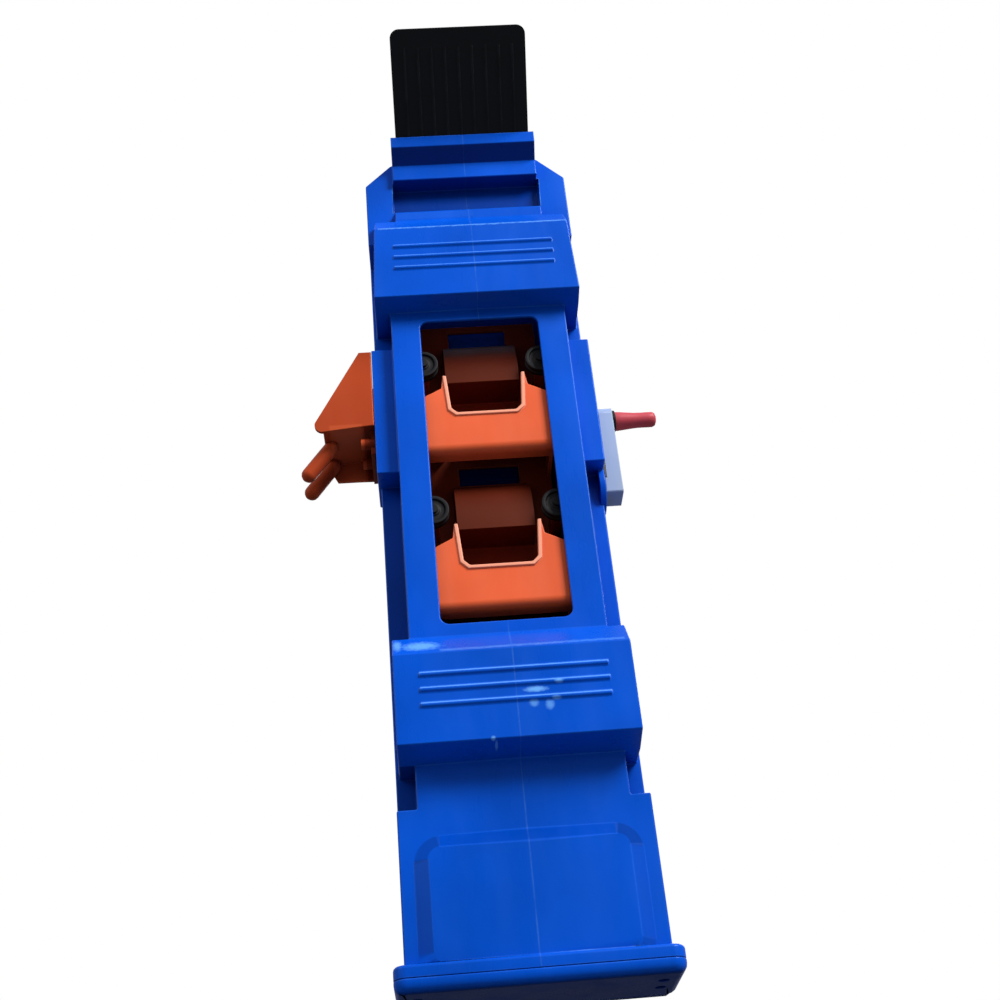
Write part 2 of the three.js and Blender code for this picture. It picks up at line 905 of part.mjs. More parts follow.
function rackScrewY() {
  return rackPitchY - toothModule * dedendumShare - rackBack / 2;
}

function rackSeat(floor) {
  const z = rackScrewZ(floor);
  const y = rackScrewY();
  const inner = trayHalf - trayBossLength;
  return rodX(trayBossRadius, inner, rackX, y, z, coarse)
    .add(box(inner, trayHalf, y - trayWall / 2, y + trayWall / 2, z, floor - trayWall + weld));
}

function rackSeatHole(floor) {
  return rodX(screwRadius + fit, trayHalf - trayBossLength - cutOver, rackX + cutOver,
    rackScrewY(), rackScrewZ(floor), coarse);
}

// The hood over a car is a quarter of an ellipse in front of the plate
function carHood(floor, inset) {
  const low = floor + hoodRise + inset;
  const back = backPlateBack + cutOver * Math.sign(inset);
  const deep = hoodDepth - inset;
  const high = hoodHeight - 2 * inset;
  const shape = new THREE.Shape();
  shape.moveTo(back, low);
  shape.lineTo(backPlateFront - deep, low);
  shape.absellipse(backPlateFront, low, deep, high, Math.PI, Math.PI / 2, true);
  shape.lineTo(back, low + high);
  shape.closePath();
  return alongX(shape, -hoodHalf + inset, hoodHalf - inset);
}

// The plate that both trays hang on, with the hoods over the cars and the arms of the rollers
function liftBackPlate() {
  const low = lowFloor - trayWall - skirtHeight;
  const high = highFloor + backPlateTopRise;
  const plate = slab(trayHalf, backPlateFront, backPlateBack, low, high);
  const arms = [];
  const cuts = [];
  for (const floor of trayFloors) {
    const z = floor + rollerRise;
    for (const side of [-1, 1]) {
      const x = side * rollerX;
      arms.push(box(x - armHalf, x + armHalf, armFront, backPlateBack, z - armRise, z + armRise));
      const seatEnd = armFront + rollerPinSeat + fit;
      cuts.push(rodY(rollerPinRadius + fit, armFront - cutOver, seatEnd, x, z, coarse));
      cuts.push(rodY(screwRadius + fit, backPlateFront - cutOver, backPlateBack + cutOver,
        side * trayBossAcross, floor - trayWall - trayBossDrop, coarse));
    }
    cuts.push(slab(slotHalf, backPlateFront - cutOver, backPlateBack + cutOver,
      floor + slotRise, floor + slotRise + slotHeight));
    cuts.push(carHood(floor, trayWall));
  }
  const hoods = trayFloors.map((floor) => carHood(floor, 0));
  return joined([plate, ...hoods, ...arms]).subtract(joined(cuts));
}

function roller(floor, side) {
  const x = side * rollerX;
  const z = floor + rollerRise;
  const tyreEdge = rollerWidth / 8;
  const bore = rollerPinRadius + fit;
  const profile = [
    [bore, 0],
    [rollerRadius - tyreEdge, 0],
    [rollerRadius, tyreEdge],
    [rollerRadius, rollerWidth - tyreEdge],
    [rollerRadius - tyreEdge, rollerWidth],
    [bore, rollerWidth],
    [bore, 0],
  ].map((point) => new THREE.Vector2(point[0], point[1]));
  const geometry = new THREE.LatheGeometry(profile, fine);
  geometry.translate(x, rollerFront, z);
  return solid(geometry);
}

function rollerPin(floor, side) {
  const x = side * rollerX;
  const z = floor + rollerRise;
  const head = rollerFront - fit;
  const rod = rodY(rollerPinRadius, head - weld, armFront + rollerPinSeat, x, z, coarse);
  return rod.add(rodY(rollerPinHeadRadius, head - rollerPinHeadThick, head, x, z, middle));
}

// Rack with teeth towards the back, a space in line with the axle at rest
function liftRack() {
  const tip = rackPitchY + toothModule * addendumShare;
  const root = rackPitchY - toothModule * dedendumShare;
  const back = root - rackBack;
  const below = Math.ceil(liftUp / toothPitch) + 2;
  const above = Math.ceil(liftDown / toothPitch) + 2;
  const halfTooth = toothPitch / 4 - backlash / 2;
  const tipHalf = halfTooth - toothModule * addendumShare * Math.tan(pressureAngle);
  const rootHalf = halfTooth + toothModule * dedendumShare * Math.tan(pressureAngle);
  const points = [[back, axleZ - below * toothPitch]];
  for (let tooth = -below; tooth < above; tooth += 1) {
    const z = axleZ + (tooth + 1 / 2) * toothPitch;
    points.push([root, z - rootHalf]);
    points.push([tip, z - tipHalf]);
    points.push([tip, z + tipHalf]);
    points.push([root, z + rootHalf]);
  }
  points.push([back, axleZ + above * toothPitch]);
  const bar = alongX(outline(points), rackX, rackX + rackWidth);
  const holes = trayFloors.map((floor) => {
    const z = rackScrewZ(floor);
    const y = rackScrewY();
    const through = rodX(screwRadius + fit, rackX - cutOver, rackX + rackWidth + cutOver, y, z, coarse);
    const sink = rodX(screwHead + fit, rackX + rackWidth - screwHeadThick - fit,
      rackX + rackWidth + cutOver, y, z, coarse);
    return through.add(sink);
  });
  return bar.subtract(joined(holes));
}

// One flank of the pinion as polar points on its involute
function involutePoint(radius) {
  const base = pinionRadius * Math.cos(pressureAngle);
  const atPitch = Math.tan(pressureAngle) - pressureAngle;
  const angle = radius > base ? Math.acos(base / radius) : 0;
  const roll = Math.tan(angle) - angle;
  const halfAtPitch = (toothPitch / 2 - backlash) / 2 / pinionRadius;
  return halfAtPitch + atPitch - roll;
}

function drivePinion() {
  const rootRadius = pinionRadius - toothModule * dedendumShare;
  const tipRadius = pinionRadius + toothModule * addendumShare;
  const levelShares = [0, 0.35, 0.6, 0.8, 1];
  const radii = levelShares.map((share) => rootRadius + (tipRadius - rootRadius) * share);
  const points = [];
  for (let tooth = 0; tooth < pinionTeeth; tooth += 1) {
    const middleAngle = Math.PI + tooth * 2 * Math.PI / pinionTeeth;
    for (const radius of radii) {
      const angle = middleAngle - involutePoint(radius);
      points.push([axleY + radius * Math.cos(angle), axleZ + radius * Math.sin(angle)]);
    }
    for (const radius of [...radii].reverse()) {
      const angle = middleAngle + involutePoint(radius);
      points.push([axleY + radius * Math.cos(angle), axleZ + radius * Math.sin(angle)]);
    }
  }
  const x = rackX + fit;
  const wheel = alongX(outline(points), x, x + pinionWidth);
  return wheel.subtract(shaftHole(x - cutOver, x + pinionWidth + cutOver));
}

// The D shaped hole that keys a part to the axle
function shaftHole(x0, x1) {
  const rod = rodX(axleRadius + fit, x0, x1, axleY, axleZ, middle);
  const flatZ = axleZ + axleRadius - axleFlat + fit;
  return rod.subtract(box(x0 - cutOver, x1 + cutOver, axleY - hubRadius, axleY + hubRadius,
    flatZ, flatZ + hubRadius));
}

function clipX() {
  return railInner + railThick + fit + bushFlangeThick + fit + fit;
}

function driveAxle() {
  const start = rackX + fit;
  const end = crankX + crankSeat - fit;
  const flatZ = axleZ + axleRadius - axleFlat;
  const flat = (x0, x1) => box(x0, x1, axleY - hubRadius, axleY + hubRadius, flatZ, flatZ + hubRadius);
  const tapped = rodX(screwRadius + fit, end - screwLength, end + cutOver, axleY, axleZ, coarse);
  const groove = rodX(hubRadius, clipX(), clipX() + clipThick + fit, axleY, axleZ, middle)
    .subtract(rodX(axleRadius - clipGroove, clipX() - cutOver, clipX() + clipThick + cutOver,
      axleY, axleZ, middle));
  return rodX(axleRadius, start, end, axleY, axleZ, middle)
    .subtract(flat(start - cutOver, start + pinionWidth))
    .subtract(flat(crankX, end + cutOver))
    .subtract(tapped)
    .subtract(groove);
}

function bush(x0, x1, flangeOut) {
  const bore = axleRadius + fit;
  const flangeX = flangeOut > 0 ? x1 : x0;
  const face = flangeX + flangeOut * bushFlangeThick;
  const ends = [Math.min(flangeX, face), Math.max(flangeX, face)];
  const sleeve = rodX(bushRadius, x0, x1, axleY, axleZ, middle);
  const flange = rodX(bushRadius + bushFlange, ends[0], ends[1], axleY, axleZ, middle);
  return sleeve.add(flange).subtract(rodX(bore, x0 - bossProud, x1 + bossProud, axleY, axleZ, middle));
}

function innerBush() {
  return bush(railInner, railInner + railThick + fit, 1);
}

// The flat of its flange rests against the shoulder, so that it can't turn
function outerBush() {
  const flat = shoulderFront + wall + fit;
  const ends = [axleZ - hubRadius, axleZ + hubRadius];
  const front = box(railInner, trunkHalf - wall, flat - bushRadius, flat, ends[0], ends[1]);
  return bush(trunkHalf - wall - fit, hubFace, -1).subtract(front);
}

function axleClip() {
  const x = clipX() + fit / 2;
  const ring = rodX(clipRadius, x, x + clipThick, axleY, axleZ, middle);
  const boreRadius = axleRadius - clipGroove + fit;
  const bore = rodX(boreRadius, x - cutOver, x + clipThick + cutOver, axleY, axleZ, middle);
  const gapHalf = axleRadius - clipGroove;
  const gap = box(x - cutOver, x + clipThick + cutOver, axleY - gapHalf, axleY + gapHalf,
    axleZ - clipRadius - cutOver, axleZ);
  return ring.subtract(bore).subtract(gap);
}

// The arm's head is round, and above its thicker foot its inner face stands back
function crankOutline(low, high) {
  const half = crankWidth / 2;
  const quarter = Math.PI / 2;
  const front = axleY - half;
  const back = axleY + half;
  const head = crankHeadRadius;
  const foot = crankFootRadius;
  const shape = new THREE.Shape();
  shape.absarc(back - foot, low + foot, foot, -quarter, 0, false);
  shape.absarc(back - head, high - head, head, 0, quarter, false);
  shape.absarc(front + head, high - head, head, quarter, 2 * quarter, false);
  shape.absarc(front + foot, low + foot, foot, 2 * quarter, 3 * quarter, false);
  shape.closePath();
  return shape;
}

function crankArm() {
  const low = axleZ - crankEndLow;
  const high = gripZ + crankEndHigh;
  const arm = alongX(crankOutline(low, high), crankX, crankFace);
  const relief = box(crankX - cutOver, crankX + crankRelief, axleY - crankWidth, axleY + crankWidth,
    low + crankFoot, high + cutOver);
  const seat = shaftHole(crankX - cutOver, crankX + crankSeat);
  const through = rodX(screwRadius + fit, crankX, crankFace + cutOver, axleY, axleZ, coarse);
  const sink = rodX(screwHead + fit, crankFace - screwHeadThick, crankFace + cutOver, axleY, axleZ, coarse);
  const pinHole = rodX(gripPinRadius + fit, crankFace - gripPinSeat - fit, crankFace + cutOver,
    axleY, gripZ, middle);
  return arm.subtract(joined([relief, seat, through, sink, pinHole]));
}

function gripStart() {
  return crankFace + fit + collarThick + fit;
}

function gripPin() {
  const end = gripStart() + gripLength - gripPinShort;
  return rodX(gripPinRadius, crankFace - gripPinSeat, end - fit, axleY, gripZ, middle);
}

function gripCollar() {
  const x = crankFace + fit;
  return rodX(collarRadius, x, x + collarThick, axleY, gripZ, fine)
    .subtract(rodX(gripPinRadius + fit, x - cutOver, x + collarThick + cutOver, axleY, gripZ, middle));
}

// The grip tapers to a rounded tip and is bored from the crank's side
function crankGrip() {
  const start = gripStart();
  const end = start + gripLength;
  const round = gripTipRadius / 2;
  const profile = [
    [0, start],
    [gripRootRadius, start],
    [gripTipRadius + (gripRootRadius - gripTipRadius) / 2, start + gripLength / 2],
    [gripTipRadius, end - round],
    [gripTipRadius - round / 3, end - round / 3],
    [gripTipRadius - round, end],
    [0, end],
  ];
  const bore = rodX(gripPinRadius + fit, start - cutOver, end - gripPinShort, axleY, gripZ, middle);
  return turnedX(profile, axleY, gripZ, fine).subtract(bore);
}

// A cheek of the chute falls from the tower to a round nose, and its foot lies below the floor
function chuteCheek(foot) {
  const noseX = chuteX - chuteReach + chuteNose;
  const noseZ = chuteFloor - chuteWall - chuteFall + chuteNose;
  const topX = chuteX - chuteTopRun;
  const topZ = highFloor + chuteRise;
  const away = Math.hypot(topX - noseX, topZ - noseZ);
  const start = Math.atan2(topZ - noseZ, topX - noseX) + Math.acos(chuteNose / away);
  const shape = new THREE.Shape();
  shape.moveTo(chuteX, topZ);
  shape.lineTo(topX, topZ);
  shape.absarc(noseX, noseZ, chuteNose, start, 3 * Math.PI / 2, false);
  for (const point of foot) {
    shape.lineTo(point[0], point[1]);
  }
  shape.closePath();
  return shape;
}

// The chute: a floor that falls outwards, two cheeks, an apron on the boss and fingers
function exitChute() {
  const floorLow = chuteFloor - chuteWall;
  const out = chuteX - chuteReach + chuteNose;
  const front = bossFront;
  const back = chuteBack;
  const apronLow = highFloor - apronDrop;
  const backLow = highFloor - chuteBackDrop;
  const sheet = outline([
    [chuteX, chuteFloor],
    [out, chuteFloor - chuteFall],
    [out, floorLow - chuteFall],
    [chuteX, floorLow],
  ]);
  const backFoot = [[chuteX - chuteBackReach, backLow], [chuteX, backLow]];
  const parts = [
    box(chuteX - weld, -railInner - fit, exitY + fit, exitBack - fit, floorLow, chuteFloor),
    alongY(sheet, front, back),
    box(chuteX - apronThick, chuteX, front + apronSetback, back, apronLow, chuteFloor),
    alongY(chuteCheek([[chuteX, floorLow]]), front, front + chuteWall),
    alongY(chuteCheek(backFoot), back - chuteWall, back),
  ];
  for (const y of chuteScrewPlaces()) {
    parts.push(rodX(postRadius, chuteX - screwLength, chuteX, y, chuteScrewZ(), coarse));
  }
  for (let finger = 0; finger < fingerCount; finger += 1) {
    parts.push(chuteFinger(out, front + fingerFirst + finger * fingerPitch));
  }
  const holes = chuteScrewPlaces().map((y) => rodX(screwRadius + fit, chuteX - screwLength + trayWall,
    chuteX + cutOver, y, chuteScrewZ(), coarse));
  return joined(parts).subtract(joined(holes));
}

// A round finger bends down from the end of the chute's floor
function chuteFinger(out, y) {
  const rootZ = chuteFloor - chuteFall - fingerRadius;
  const root = new THREE.Vector3(out + fingerIn, y, rootZ);
  const tip = new THREE.Vector3(out - fingerOut, y, rootZ - fingerDrop);
  const geometry = new THREE.CapsuleGeometry(fingerRadius, root.distanceTo(tip), cornerSteps, middle);
  const along = tip.clone().sub(root).normalize();
  geometry.applyQuaternion(new THREE.Quaternion().setFromUnitVectors(new THREE.Vector3(0, 1, 0), along));
  const centre = root.clone().add(tip).multiplyScalar(1 / 2);
  geometry.translate(centre.x, centre.y, centre.z);
  return solid(geometry);
}

// The flap as it lies when it is shut, about its pin, before it is swung open
function exitFlap() {
  const half = flapThick / 2;
  const shape = roundedOutline(-flapHalf, flapHalf, -flapRadius, flapLength, flapRadius);
  const beyond = slab(2 * flapHalf, -2 * flapRadius, 0, -flapLength, flapLength);
  const plate = alongZ(shape, -half, half).subtract(beyond);
  const skirtOuter = alongZ(shape, -half - flapSkirt, -half + weld).subtract(beyond);
  const inner = roundedOutline(-flapHalf + flapBead, flapHalf - flapBead, -2 * flapRadius,
    flapLength - flapBead, flapRadius - flapBead);
  const skirt = skirtOuter
    .subtract(alongZ(inner, -half - flapSkirt - cutOver, half))
    .subtract(slab(2 * flapHalf, -flapLength, 2 * flapBarrel, -flapLength, 0));
  const ribs = [];
  for (let rib = 0; rib < flapRibCount; rib += 1) {
    const x = (rib + 1 - (flapRibCount + 1) / 2) * 2 * flapHalf / (flapRibCount + 1);
    ribs.push(box(x - flapRibWide / 2, x + flapRibWide / 2, 3 * flapBarrel, flapLength - 2 * flapRadius,
      half - weld, half + flapRibProud));
  }
  const barrel = rodX(flapBarrel, -flapHalf, flapHalf, 0, 0, middle);
  const bore = rodX(flapPinRadius + fit, -flapHalf - cutOver, flapHalf + cutOver, 0, 0, middle);
  return joined([plate, skirt, ...ribs, barrel]).subtract(bore);
}

function flapPin() {
  return rodX(flapPinRadius, -corniceHalf + fit, corniceHalf - fit, flapPinY, flapPinZ, middle);
}

// A pan head screw along +Z whose head stands on the plane of z = 0
function screw() {
  const profile = [
    [0, -screwLength + fit],
    [screwRadius / 2, -screwLength + fit],
    [screwRadius, -screwLength + screwRadius],
    [screwRadius, 0],
    [screwHead, 0],
    [screwHead, screwHeadThick / 2],
    [screwHead - screwHeadThick / 2, screwHeadThick - fit],
    [0, screwHeadThick - fit],
  ].map((point) => new THREE.Vector2(point[0], point[1]));
  const geometry = new THREE.LatheGeometry(profile, coarse);
  geometry.rotateX(Math.PI / 2);
  const top = screwHeadThick - fit;
  const reach = screwHead / 2;
  const cross = box(-reach, reach, -screwSlot / 2, screwSlot / 2, top - screwSlotDeep, top + cutOver)
    .add(box(-screwSlot / 2, screwSlot / 2, -reach, reach, top - screwSlotDeep, top + cutOver));
  return solid(geometry).subtract(cross);
}

const screwGeometry = geometryOf(screw());

// Materials
const bluePlastic = { color: 0x0b4fd8, roughness: 0.35, metalness: 0 };
const orangePlastic = { color: 0xe8602c, roughness: 0.4, metalness: 0 };
const blackPlastic = { color: 0x121316, roughness: 0.5, metalness: 0 };
const greyNylon = { color: 0xb9b9b2, roughness: 0.5, metalness: 0 };
const silverPlastic = { color: 0xa4aab0, roughness: 0.35, metalness: 0.4 };
const redPlastic = { color: 0xa83a40, roughness: 0.4, metalness: 0 };
const steel = { color: 0x9a9da0, roughness: 0.3, metalness: 1 };

const tower = new THREE.Group();
tower.name = 'garage_lift_tower';

function place(name, body, finish) {
  const mesh = new THREE.Mesh(geometryOf(body), new THREE.MeshStandardMaterial(finish));
  mesh.name = name;
  tower.add(mesh);
  return mesh;
}

// The head's axis points along the given direction, its underside at the given point
function placeScrew(name, x, y, z, direction) {
  const mesh = new THREE.Mesh(screwGeometry, new THREE.MeshStandardMaterial(steel));
  mesh.name = name;
  mesh.position.set(x, y, z);
  mesh.quaternion.setFromUnitVectors(new THREE.Vector3(0, 0, 1), direction);
  tower.add(mesh);
}

const left = new THREE.Vector3(-1, 0, 0);
const right = new THREE.Vector3(1, 0, 0);
const rearward = new THREE.Vector3(0, 1, 0);
const down = new THREE.Vector3(0, 0, -1);
const sides = [{ name: 'left', sign: -1 }, { name: 'right', sign: 1 }];
const decks = [{ name: 'lower', floor: lowFloor }, { name: 'upper', floor: highFloor }];

place('left_shell', leftShell(), bluePlastic);
place('right_shell', rightShell(), bluePlastic);
place('back_panel', backPanel(), bluePlastic);
place('base_plate', basePlate(), bluePlastic);
place('left_guide_rail', leftRail(), bluePlastic);
place('right_guide_rail', rightRail(), bluePlastic);

for (const side of sides) {
  const x = side.sign * postX;
  backScrewHeights.forEach((z, row) => {
    placeScrew(`back_screw_${side.name}_${row + 1}`, x, backOuter - screwHeadThick + fit, z, rearward);
  });
  baseScrewPlaces().forEach((y, row) => {
    placeScrew(`base_screw_${side.name}_${row + 1}`, x, y, baseThick - wall - fit, down);
  });
}

place('lift_back_plate', liftBackPlate(), orangePlastic);
for (const deck of decks) {
  place(`${deck.name}_tray`, carTray(deck.floor), orangePlastic);
  for (const side of sides) {
    const z = deck.floor - trayWall - trayBossDrop;
    placeScrew(`tray_screw_${deck.name}_${side.name}`, side.sign * trayBossAcross, backPlateBack + fit, z,
      rearward);
    place(`roller_${deck.name}_${side.name}`, roller(deck.floor, side.sign), blackPlastic);
    place(`roller_pin_${deck.name}_${side.name}`, rollerPin(deck.floor, side.sign), steel);
  }
  placeScrew(`rack_screw_${deck.name}`, rackX + rackWidth - screwHeadThick, rackScrewY(),
    rackScrewZ(deck.floor), right);
}
place('lift_rack', liftRack(), greyNylon);

place('drive_pinion', drivePinion(), greyNylon);
place('drive_axle', driveAxle(), steel);
place('inner_bush', innerBush(), greyNylon);
place('outer_bush', outerBush(), greyNylon);
place('axle_clip', axleClip(), steel);
place('crank_arm', crankArm(), silverPlastic);
placeScrew('crank_screw', crankFace - screwHeadThick + fit, axleY, axleZ, right);
place('grip_pin', gripPin(), steel);
place('grip_collar', gripCollar(), blackPlastic);
place('crank_grip', crankGrip(), redPlastic);

place('exit_chute', exitChute(), orangePlastic);
chuteScrewPlaces().forEach((y, row) => {
  placeScrew(`chute_screw_${row + 1}`, -bossHalf + wall + fit, y, chuteScrewZ(), right);
});

const flap = place('top_flap', exitFlap(), blackPlastic);
flap.position.set(0, flapPinY, flapPinZ);
flap.rotation.x = Math.PI / 2 + flapLean;
place('flap_pin', flapPin(), steel);

export default tower;
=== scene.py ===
# %% [markdown]
# A toy lift tower in moulded plastic: a blue casing in two halves, two orange car
# trays behind its window, a grey crank on the right, an orange chute on the left
# and a black flap on top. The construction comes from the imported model, which
# stays a fixed frame. This file gives every part its finished surface.

# %% Load the frame
import json
import math
import bpy
import bmesh
from mathutils import Euler, Matrix, Vector


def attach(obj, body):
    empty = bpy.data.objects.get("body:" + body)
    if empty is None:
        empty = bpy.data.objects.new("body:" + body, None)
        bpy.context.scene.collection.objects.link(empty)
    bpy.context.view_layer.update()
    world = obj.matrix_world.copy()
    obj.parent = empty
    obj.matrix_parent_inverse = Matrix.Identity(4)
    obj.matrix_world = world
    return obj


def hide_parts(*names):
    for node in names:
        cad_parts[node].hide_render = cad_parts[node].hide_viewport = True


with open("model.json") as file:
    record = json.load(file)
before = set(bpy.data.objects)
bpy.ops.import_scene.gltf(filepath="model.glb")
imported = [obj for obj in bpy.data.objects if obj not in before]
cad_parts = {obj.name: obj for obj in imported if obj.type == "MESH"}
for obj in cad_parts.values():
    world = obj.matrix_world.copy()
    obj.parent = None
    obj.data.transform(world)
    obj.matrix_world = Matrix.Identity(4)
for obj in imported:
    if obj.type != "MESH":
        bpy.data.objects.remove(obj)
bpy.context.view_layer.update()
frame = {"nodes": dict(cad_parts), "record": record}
MM = 0.001


# %% [markdown]
# The photograph looks up at the tower from below its base, a little from the left.
# The camera was fitted until the corners of the casing lay on the picture: a place, a turn, and a lens
# that gives the same perspective.

# %% The camera
CAMERA_PLACE = Vector((-57.70, -868.09, -190.33)) * MM
CAMERA_TURN = (121.122, 4.810, -1.190)
CAMERA_LENS = 52.63

camera_data = bpy.data.cameras.new("camera")
camera_data.lens = CAMERA_LENS
camera_data.sensor_width = 36
camera_data.clip_start = 10 * MM
camera = bpy.data.objects.new("camera", camera_data)
camera.location = CAMERA_PLACE
camera.rotation_euler = Euler([math.radians(turn) for turn in CAMERA_TURN])
bpy.context.scene.collection.objects.link(camera)
bpy.context.scene.camera = camera
print("camera", [round(value, 3) for value in camera.location])


# %% [markdown]
# The light is a soft studio: one large lamp high on the right gives the bright top
# edges, a weaker one on the left opens the shadows, and a pale sky does the rest.
# The sky is darker below the horizon, so that the undersides go deep blue as they
# do in the picture. The sky is white to the camera itself, like a paper backdrop.

# %% The lamps and the sky
def area_lamp(name, place, target, size, power):
    """Adds a square lamp of that size, at a place in metres, that looks at a target."""
    data = bpy.data.lights.new(name, "AREA")
    data.size = size
    data.energy = power
    lamp = bpy.data.objects.new(name, data)
    lamp.location = place
    lamp.rotation_euler = (Vector(target) - Vector(place)).to_track_quat("-Z", "Y").to_euler()
    bpy.context.scene.collection.objects.link(lamp)


TOWER_MIDDLE = (0, 0, 0.38)
LAMPS = (
    ("key_lamp", (1.45, -1.45, 1.9), 1.0, 88),
    ("fill_lamp", (-1.5, -0.9, 1.2), 0.9, 7),
    ("back_lamp", (0.5, 1.6, 1.3), 1.2, 14),
)
for name, place, size, power in LAMPS:
    area_lamp(name, place, TOWER_MIDDLE, size, power)

SKY_BELOW, SKY_BELOW_END = (0.045, 0.05, 0.06), 0.40
SKY_ABOVE, SKY_ABOVE_START = (0.50, 0.52, 0.56), 0.80
PAPER_WHITE = (1, 1, 1)

sky = bpy.data.worlds.new("studio_sky")
sky.use_nodes = True
bpy.context.scene.world = sky
bpy.context.scene.view_settings.view_transform = "Standard"
nodes, links = sky.node_tree.nodes, sky.node_tree.links
nodes.clear()
place = nodes.new("ShaderNodeTexCoord")
height = nodes.new("ShaderNodeSeparateXYZ")
ramp = nodes.new("ShaderNodeValToRGB")
ramp.color_ramp.elements[0].position = SKY_BELOW_END
ramp.color_ramp.elements[0].color = (*SKY_BELOW, 1)
ramp.color_ramp.elements[1].position = SKY_ABOVE_START
ramp.color_ramp.elements[1].color = (*SKY_ABOVE, 1)
half = nodes.new("ShaderNodeMapRange")
half.inputs["From Min"].default_value = -1
light = nodes.new("ShaderNodeBackground")
paper = nodes.new("ShaderNodeBackground")
paper.inputs["Color"].default_value = (*PAPER_WHITE, 1)
path = nodes.new("ShaderNodeLightPath")
choose = nodes.new("ShaderNodeMixShader")
out = nodes.new("ShaderNodeOutputWorld")
links.new(place.outputs["Generated"], height.inputs[0])
links.new(height.outputs["Z"], half.inputs["Value"])
links.new(half.outputs["Result"], ramp.inputs["Fac"])
links.new(ramp.outputs["Color"], light.inputs["Color"])
links.new(path.outputs["Is Camera Ray"], choose.inputs["Fac"])
links.new(light.outputs[0], choose.inputs[1])
links.new(paper.outputs[0], choose.inputs[2])
links.new(choose.outputs[0], out.inputs["Surface"])


# %% [markdown]
# Every material is built from a few shared effects, kept as node groups. Grain is
# the fine orange peel of a moulded face. Wear finds the edges, where handling
# polishes and pales the plastic. Streaks are the long flow and wiping marks.

# %% Helpers for node groups
def group(name, inputs, outputs):
    """An empty shader group with named value inputs and typed outputs."""
    tree = bpy.data.node_groups.new(name, "ShaderNodeTree")
    for label, value in inputs.items():
        socket = tree.interface.new_socket(label, in_out="INPUT", socket_type="NodeSocketFloat")
        socket.default_value = value
    for label, kind in outputs.items():
        tree.interface.new_socket(label, in_out="OUTPUT", socket_type=kind)
    return tree


def node(tree, kind, **values):
    """A node whose properties and inputs are set by name."""
    new = tree.nodes.new(kind)
    for label, value in values.items():
        if label in new.inputs:
            new.inputs[label].default_value = value
        else:
            setattr(new, label, value)
    return new


def join(tree, start, end):
    """Links an output socket to an input socket."""
    tree.links.new(start, end)


def math_node(tree, operation, first, second):
    """A maths node fed by sockets or numbers."""
    new = tree.nodes.new("ShaderNodeMath")
    new.operation = operation
    for index, value in enumerate((first, second)):
        if isinstance(value, (int, float)):
            new.inputs[index].default_value = value
        else:
            join(tree, value, new.inputs[index])
    return new.outputs[0]


FLOAT = "NodeSocketFloat"


# %% The grain of moulded plastic
def grain_group():
    tree = group("moulded_grain", {"Size": 900.0, "Amount": 1.0}, {"Height": FLOAT, "Cloud": FLOAT})
    start = tree.nodes.new("NodeGroupInput")
    end = tree.nodes.new("NodeGroupOutput")
    place = tree.nodes.new("ShaderNodeTexCoord")
    fine = node(tree, "ShaderNodeTexNoise", Detail=3.0, Roughness=0.6)
    wide = node(tree, "ShaderNodeTexNoise", Scale=14.0, Detail=2.0, Roughness=0.5)
    for noise in (fine, wide):
        join(tree, place.outputs["Object"], noise.inputs["Vector"])
    join(tree, start.outputs["Size"], fine.inputs["Scale"])
    height = math_node(tree, "MULTIPLY", fine.outputs["Fac"], start.outputs["Amount"])
    total = math_node(tree, "ADD", height, wide.outputs["Fac"])
    join(tree, total, end.inputs["Height"])
    join(tree, wide.outputs["Fac"], end.inputs["Cloud"])
    return tree


# %% The wear along edges
WEAR_FLAT, WEAR_SHARP = 0.995, 0.86
BREAK_LOW, BREAK_HIGH = 0.32, 0.62


def wear_group():
    tree = group("edge_wear", {"Reach": 0.0012, "Breakup": 60.0}, {"Mask": FLOAT})
    start = tree.nodes.new("NodeGroupInput")
    end = tree.nodes.new("NodeGroupOutput")
    place = tree.nodes.new("ShaderNodeTexCoord")
    shape = tree.nodes.new("ShaderNodeNewGeometry")
    soft = node(tree, "ShaderNodeBevel", samples=4)
    join(tree, start.outputs["Reach"], soft.inputs["Radius"])
    turn = node(tree, "ShaderNodeVectorMath", operation="DOT_PRODUCT")
    join(tree, soft.outputs["Normal"], turn.inputs[0])
    join(tree, shape.outputs["Normal"], turn.inputs[1])
    noise = node(tree, "ShaderNodeTexNoise", Detail=4.0, Roughness=0.65)
    join(tree, place.outputs["Object"], noise.inputs["Vector"])
    join(tree, start.outputs["Breakup"], noise.inputs["Scale"])
    edge = node(tree, "ShaderNodeMapRange", **{"From Min": WEAR_FLAT, "From Max": WEAR_SHARP})
    join(tree, turn.outputs["Value"], edge.inputs["Value"])
    broken = node(tree, "ShaderNodeMapRange", **{"From Min": BREAK_LOW, "From Max": BREAK_HIGH})
    join(tree, noise.outputs["Fac"], broken.inputs["Value"])
    join(tree, math_node(tree, "MULTIPLY", edge.outputs[0], broken.outputs[0]), end.inputs["Mask"])
    return tree


# %% The long streaks
STREAK_LOW, STREAK_HIGH = 0.42, 0.78


